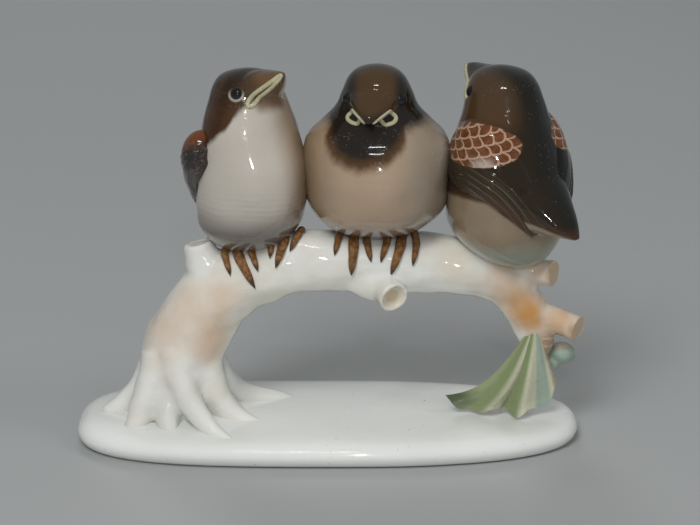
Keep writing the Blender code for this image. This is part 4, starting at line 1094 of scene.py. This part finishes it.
colour = (sparkle * 0.4).mix(colour, TAN_SPARKLE)
fire(shader, paint, colour, paint.cloud(2.4) + sparkle * 0.3, 0.14, paint.cloud(6.0) * 0.14 + 0.08)

# The right bird, seen from behind: near-black back, scaled chestnut shoulders, dark wings.
OLIVE_BEIGE = (0.25, 0.185, 0.115, 1.0)
OLIVE_DRIFT = (0.19, 0.15, 0.11, 1.0)
GREEN_GREY = (0.25, 0.26, 0.205, 1.0)
BREAST_GREY = (0.20, 0.19, 0.16, 1.0)
BACK_BLACK = (0.0050, 0.0055, 0.0035, 1.0)
BACK_BROWN = (0.019, 0.012, 0.005, 1.0)
NECK_BROWN = (0.075, 0.036, 0.013, 1.0)
HEAD_BROWN = (0.062, 0.040, 0.022, 1.0)
LOW_WING = (0.036, 0.024, 0.011, 1.0)
PALE_QUILL = (0.12, 0.075, 0.035, 1.0)
HEM_RUST = (0.085, 0.035, 0.013, 1.0)
COVERT_DARK = (0.11, 0.036, 0.012, 1.0)
COVERT_LIGHT = (0.17, 0.062, 0.024, 1.0)
COVERT_RIM = (0.46, 0.30, 0.20, 1.0)
COVERT_PALE_SMEAR = (0.48, 0.40, 0.34, 1.0)
# The scaled shoulder patch: its middle and half its size in turn and in height, and how many
# millimetres of skin there are to a degree of turn.
PATCH_TURN = (100.0, 55.0)
PATCH_HEIGHT = (32.4, 6.2)
DEGREE_OF_SKIN = 0.27
right_glaze, shader, paint = glaze("right_bird_glaze")
turn, height, side, cap = fields(paint, "turn", "height", "side", "cap")
along, across, wing_only = fields(paint, "along", "across", "wing")
wander = sprayed(paint)
belly = (paint.cloud(9.0).rise(0.4, 0.7) * 0.5).mix(OLIVE_BEIGE, OLIVE_DRIFT)
belly = (height + wander * 2).rise(4.0, -3.0).mix(belly, GREEN_GREY)
belly = (turn.rise(74.0, 52.0) * height.rise(0.0, 8.0) * 0.6).mix(belly, BREAST_GREY)
low_back = side.rise(-4.0, 8.0).mix(BACK_BLACK, BACK_BROWN)
neck = side.rise(2.5, 11.0) * (height + wander).rise(34.0, 41.0)
dark = neck.mix(low_back, NECK_BROWN)
dark = (side.rise(2.0, 8.0) * height.rise(38.0, 46.0) * 0.6).mix(dark, HEAD_BROWN)
quills = quill_lines(across, 0.28) * across.rise(0.0, -2.5) * along.rise(12.0, 22.0)
dark = (across.rise(1.0, -5.0) * height.rise(32.0, 27.0) * 0.5).mix(dark, LOW_WING)
dark = (quills * 0.75).mix(dark, PALE_QUILL)
dark = (cap.rise(4.5, 1.0) * height.rise(24.0, 16.0) * 0.4).mix(dark, HEM_RUST)
on_dark = ((cap + wander * 0.4).rise(-0.9, 0.9)).math("MAXIMUM", wing_only)
colour = on_dark.mix(belly, dark)
quills = quills * on_dark
round_body = turn * DEGREE_OF_SKIN
bend = wander * 0.25 + (paint.cloud(6.0) - 0.5) * 2.0
down_scales = round_body * 0.95 - height * 0.32 + bend
over_scales = height * 0.95 + round_body * 0.32 + bend
rims, inside = feather_scales(down_scales, over_scales, 2.6, 3.6)
patch_round = ((turn - PATCH_TURN[0]) / PATCH_TURN[1]).math("POWER", 2.0)
patch_up = ((height - PATCH_HEIGHT[0]) / PATCH_HEIGHT[1]).math("POWER", 2.0)
patch = (patch_round + patch_up + wander * 0.06).rise(1.04, 0.90)
chestnut = paint.cloud(2.0).rise(0.35, 0.7).mix(COVERT_DARK, COVERT_LIGHT)
covert = (rims * 0.9).mix(chestnut, COVERT_RIM)
# The shoulder patch turns pale towards its lower edge, between turns of 98 and 128 degrees.
pale_smear = turn.rise(98.0, 112.0) * turn.rise(128.0, 118.0) * height.rise(30.5, 27.5)
covert = (pale_smear * 0.75).mix(covert, COVERT_PALE_SMEAR)
colour = patch.mix(colour, covert)
sparkle = sparkle_on(paint)
colour = (sparkle * 0.35).mix(colour, TAN_SPARKLE)
relief = paint.cloud(2.4) + sparkle * 0.3 - quills * 0.8 + patch * (inside.rise(0.0, 1.4) * 0.9)
fire(shader, paint, colour, relief, 0.16, paint.cloud(6.0) * 0.12 + 0.07)

for bird, coat in ((left, left_glaze), (middle, middle_glaze), (right, right_glaze)):
    nodes = [bird.name + end for end in ("_body", "_head", "_tail")]
    hand_over(castings[bird], coat, bird.name + "_body", *nodes)
    for wing, node in wings[bird]:
        hand_over(wing, coat, bird.name + "_wing", node)

# ---------------------------------------------------------------------------------------------
# The fledglings' soft cream gapes: a raised rim of clay round each corner of the mouth, with the
# dark slit of the beak inside it. The beak's horn is part of the head's casting.

GAPE_CREAM = (0.42, 0.39, 0.235, 1.0)
GAPE_PALE = (0.50, 0.48, 0.32, 1.0)
GAPE_SPECK = (0.20, 0.16, 0.07, 1.0)
# How far a rim's middle stands off the face: the left bird's far one is pressed in.
GAPE_LIFT = 0.15
FAR_GAPE_LIFT = -0.55
RIM_FLATNESS = 0.8
# Points round one corner of the mouth in a bird's own frame, and the rim's radius.
GAPES = {
    left: ((
        (7.0, -8.2, 46.8), (7.8, -8.0, 48.4), (5.8, -11.0, 52.0), (3.0, -13.4, 54.8),
        (0.9, -15.2, 56.6), (2.6, -13.6, 53.4), (4.8, -11.2, 49.8),
    ), 0.72),
    middle: ((
        (1.6, -19.0, 40.1), (4.0, -16.8, 41.5), (6.0, -14.4, 42.2), (7.4, -12.8, 41.3),
        (7.5, -12.6, 39.9), (6.2, -14.0, 39.1), (3.6, -16.8, 39.4),
    ), 0.66),
    right: ((
        (8.6, -6.5, 43.8), (8.8, -7.4, 45.4), (6.6, -11.0, 48.0), (3.4, -15.0, 50.0),
        (1.0, -17.8, 51.0), (3.2, -14.6, 48.6), (6.2, -10.8, 45.6),
    ), 0.7),
}


def surface_of(piece):
    """A piece's surface, to set other pieces on."""
    corners = [vertex.co / MM for vertex in piece.data.vertices]
    return BVHTree.FromPolygons(corners, [tuple(face.vertices) for face in piece.data.polygons])


def closed_curve(points, steps):
    """A smooth closed line through points."""
    points = np.array(points, float)
    curve = []
    for i in range(len(points)):
        a, b, c, d = [points[(i + k) % len(points)] for k in (-1, 0, 1, 2)]
        for t in np.arange(steps) / steps:
            bend = (2 * a - 5 * b + 4 * c - d) * t * t + (3 * b - a - 3 * c + d) * t ** 3
            curve.append((2 * b + (c - a) * t + bend) / 2)
    return np.array(curve)


def rim_on(surface, curve, radius, lift):
    """A closed round rim laid on a surface along a curve in the row frame."""
    spots = []
    ways = []
    for point in curve:
        spot, way = surface.find_nearest(Vector(point))[:2]
        spots.append(np.array(spot + way * lift))
        ways.append(np.array(way))
    spots = np.array(spots)
    ways = np.array(ways)
    for _ in range(4):
        spots = (spots + (np.roll(spots, 1, 0) + np.roll(spots, -1, 0)) / 2) / 2
        ways = (ways + (np.roll(ways, 1, 0) + np.roll(ways, -1, 0)) / 2) / 2
    ahead = np.roll(spots, -1, 0) - np.roll(spots, 1, 0)
    beside = np.cross(ahead, ways)
    beside = beside / np.linalg.norm(beside, axis=1, keepdims=True)
    ways = ways / np.linalg.norm(ways, axis=1, keepdims=True)
    sides = 14
    angle = (np.arange(sides) * math.tau / sides)[None, :, None]
    rings = spots[:, None] + beside[:, None] * np.cos(angle) * radius
    rings = rings + ways[:, None] * np.sin(angle) * radius * RIM_FLATNESS
    count = len(rings)
    faces = []
    for i in range(count):
        for k in range(sides):
            n = (i + 1) % count
            m = (k + 1) % sides
            faces.append((i * sides + k, n * sides + k, n * sides + m, i * sides + m))
    return rings.reshape(-1, 3), faces


gape_glaze, shader, paint = glaze("gape_glaze")
colour = paint.cloud(1.2).rise(0.35, 0.7).mix(GAPE_CREAM, GAPE_PALE)
colour = (paint.cloud(0.6).rise(0.58, 0.72) * 0.5).mix(colour, GAPE_SPECK)
fire(shader, paint, colour, paint.cloud(1.0), 0.15)

surfaces = {}
for bird, (corner, radius) in GAPES.items():
    surfaces[bird] = surface_of(castings[bird])
    loops = []
    for side in (1.0, -1.0):
        curve = closed_curve(np.array(corner) * np.array((side, 1.0, 1.0)), 14)
        curve = bird.out_to_row(turned(curve, GLANCE[bird]))
        lift = FAR_GAPE_LIFT if bird is left and side > 0 else GAPE_LIFT
        loops.append(rim_on(surfaces[bird], curve, radius, lift))
    gape = mesh_object(bird.name + "_gape", loops)
    hand_over(gape, gape_glaze, "beak", bird.name + "_upper_beak", bird.name + "_lower_beak")

# ---------------------------------------------------------------------------------------------
# The eyes: beads of black glaze that stand a little proud of the face.

EYE_BLACK = (0.004, 0.004, 0.005, 1.0)
EYE_BROWN = (0.016, 0.012, 0.010, 1.0)
EYE_SIZE = (1.85, 1.85, 1.15)
EYE_SUNK = 0.35

eye_glaze, shader, paint = glaze("eye_glaze")
colour = paint.cloud(1.5).rise(0.4, 0.8).mix(EYE_BLACK, EYE_BROWN)
fire(shader, paint, colour, paint.cloud(1.5), 0.03)
for bird, (turn, height) in EYES.items():
    for label, side in (("_left_eye", 1.0), ("_right_eye", -1.0)):
        aim = bird.out_to_row(turned(bird.skin(side * turn, height), GLANCE[bird]))
        spot, way = surfaces[bird].find_nearest(Vector(aim))[:2]
        rings = ball(spot - way * EYE_SUNK, EYE_SIZE, way)
        bead = mesh_object(bird.name + label + "_bead", [loft(rings)])
        hand_over(bead, eye_glaze, "eye", bird.name + label)

# ---------------------------------------------------------------------------------------------
# The feet: three toes to each, rolled from clay and pressed over the branch, painted brown with
# dark claws and speckled by the glaze.

TOE_DARK = (0.13, 0.055, 0.016, 1.0)
TOE_LIGHT = (0.30, 0.15, 0.055, 1.0)
CLAW = (0.020, 0.013, 0.008, 1.0)
TOE_GRIT = (0.36, 0.24, 0.13, 1.0)
TOE_WIDTH = 3.5
TOE_HEIGHT = 2.8
TOE_PROUD = 0.6
OUTER_TOE = 0.76
# A toe's swell at its joints, how closely they follow each other, and how bluntly it ends.
JOINT_SWELL = 0.05
JOINT_PITCH = 17.0
TOE_BLUNTNESS = 5.0
# Each foot's toes as places along the branch and angles from its top.
FEET = {
    left: (
        (
            ((-31.2, 8.0), (-31.6, 30.0), (-30.0, 65.0)),
            ((-28.6, 8.0), (-27.0, 45.0), (-22.3, 99.0)),
            ((-24.9, 8.0), (-23.4, 40.0), (-21.4, 75.0)),
        ),
        (
            ((-17.2, 5.0), (-17.2, 30.0), (-17.8, 58.0)),
            ((-12.9, 5.0), (-13.6, 35.0), (-16.0, 77.0)),
            ((-7.9, 5.0), (-9.2, 25.0), (-11.6, 52.0)),
        ),
    ),
    middle: (
        (
            ((4.2, 8.0), (3.6, 30.0), (2.3, 62.0)),
            ((8.4, 8.0), (8.2, 50.0), (7.5, 99.0)),
            ((11.4, 8.0), (12.4, 40.0), (13.7, 73.0)),
        ),
        (
            ((19.2, 8.0), (18.4, 40.0), (16.7, 73.0)),
            ((23.6, 8.0), (22.6, 45.0), (19.7, 96.0)),
            ((27.2, 8.0), (27.6, 40.0), (26.4, 79.0)),
        ),
    ),
    right: (
        (
            ((48.2, -42.0), (46.6, -70.0)),
            ((51.6, -42.0), (51.2, -60.0), (50.8, -84.0)),
            ((54.8, -42.0), (55.6, -70.0)),
        ),
        (
            ((39.5, -50.0), (38.5, -74.0)),
            ((42.5, -50.0), (42.5, -64.0), (42.5, -84.0)),
            ((45.5, -50.0), (46.5, -74.0)),
        ),
    ),
}


def wood_surface(x, angle):
    """The wood's surface point at a place in X and an angle from the top, and its outward way."""
    spine = np.array(WOOD_SPINE[4:-2])
    a = math.radians(angle)
    place = x
    for _ in range(12):
        height = np.interp((place - 0.5, place, place + 0.5), spine[:, 0], spine[:, 2])
        radius = float(np.interp(place, spine[:, 0], spine[:, 3]))
        ahead = Vector((1.0, 0.0, float(height[2] - height[0]))).normalized()
        out = Vector((-ahead.z, 0.0, ahead.x)) * math.cos(a) + Vector((0.0, -math.sin(a), 0.0))
        axis = Vector((place, 0.0, float(height[1])))
        place += (x - axis.x - out.x * radius) / 2
    return axis + out * radius, out


def toe_rings(spots, width, surface):
    """Rings of a toe with three soft joints that tapers to a claw, and each ring's share."""
    line = []
    for x, angle in smooth_rows(spots, 14):
        guess, out = wood_surface(x, angle)
        spot, way = surface.find_nearest(guess)[:2]
        line.append((spot, way))
    rings = []
    turn = np.arange(20) * math.tau / 20
    for i, (spot, out) in enumerate(line):
        s = i / (len(line) - 1)
        taper = (1 - s ** TOE_BLUNTNESS) * (0.92 + JOINT_SWELL * math.sin(s * JOINT_PITCH)) + 0.05
        along = line[min(i + 1, len(line) - 1)][0] - line[max(i - 1, 0)][0]
        across = out.cross(along).normalized()
        ring = np.outer(np.cos(turn), across) * width / 2 + np.outer(np.sin(turn), out) * TOE_HEIGHT / 2
        rings.append(np.array(spot + out * TOE_PROUD) + ring * taper)
    return np.array(rings), np.linspace(0.0, 1.0, len(line))


foot_glaze, shader, paint = glaze("foot_glaze")
toe = paint.field("toe")
colour = paint.cloud(1.4).rise(0.35, 0.7).mix(TOE_DARK, TOE_LIGHT)
colour = toe.rise(0.78, 0.98).mix(colour, CLAW)
grit = paint.cloud(0.4, 1.0).rise(0.62, 0.68)
colour = (grit * 0.55).mix(colour, TOE_GRIT)
fire(shader, paint, colour, paint.cloud(0.8) + grit * 0.4, 0.2)
wood_skin = surface_of(wood)
for bird, feet in FEET.items():
    for label, toes in zip(("_right_foot", "_left_foot"), feet):
        parts = []
        shares = []
        for number, spots in enumerate(toes):
            width = TOE_WIDTH * (1.0 if number == 1 else OUTER_TOE)
            rings, share = toe_rings(spots, width, wood_skin)
            parts.append(loft(rings))
            shares.append(np.repeat(share, rings.shape[1]))
        foot = mesh_object(bird.name + label + "_toes", parts)
        set_field(foot, "toe", np.concatenate(shares))
        hand_over(foot, foot_glaze, "foot", bird.name + label)
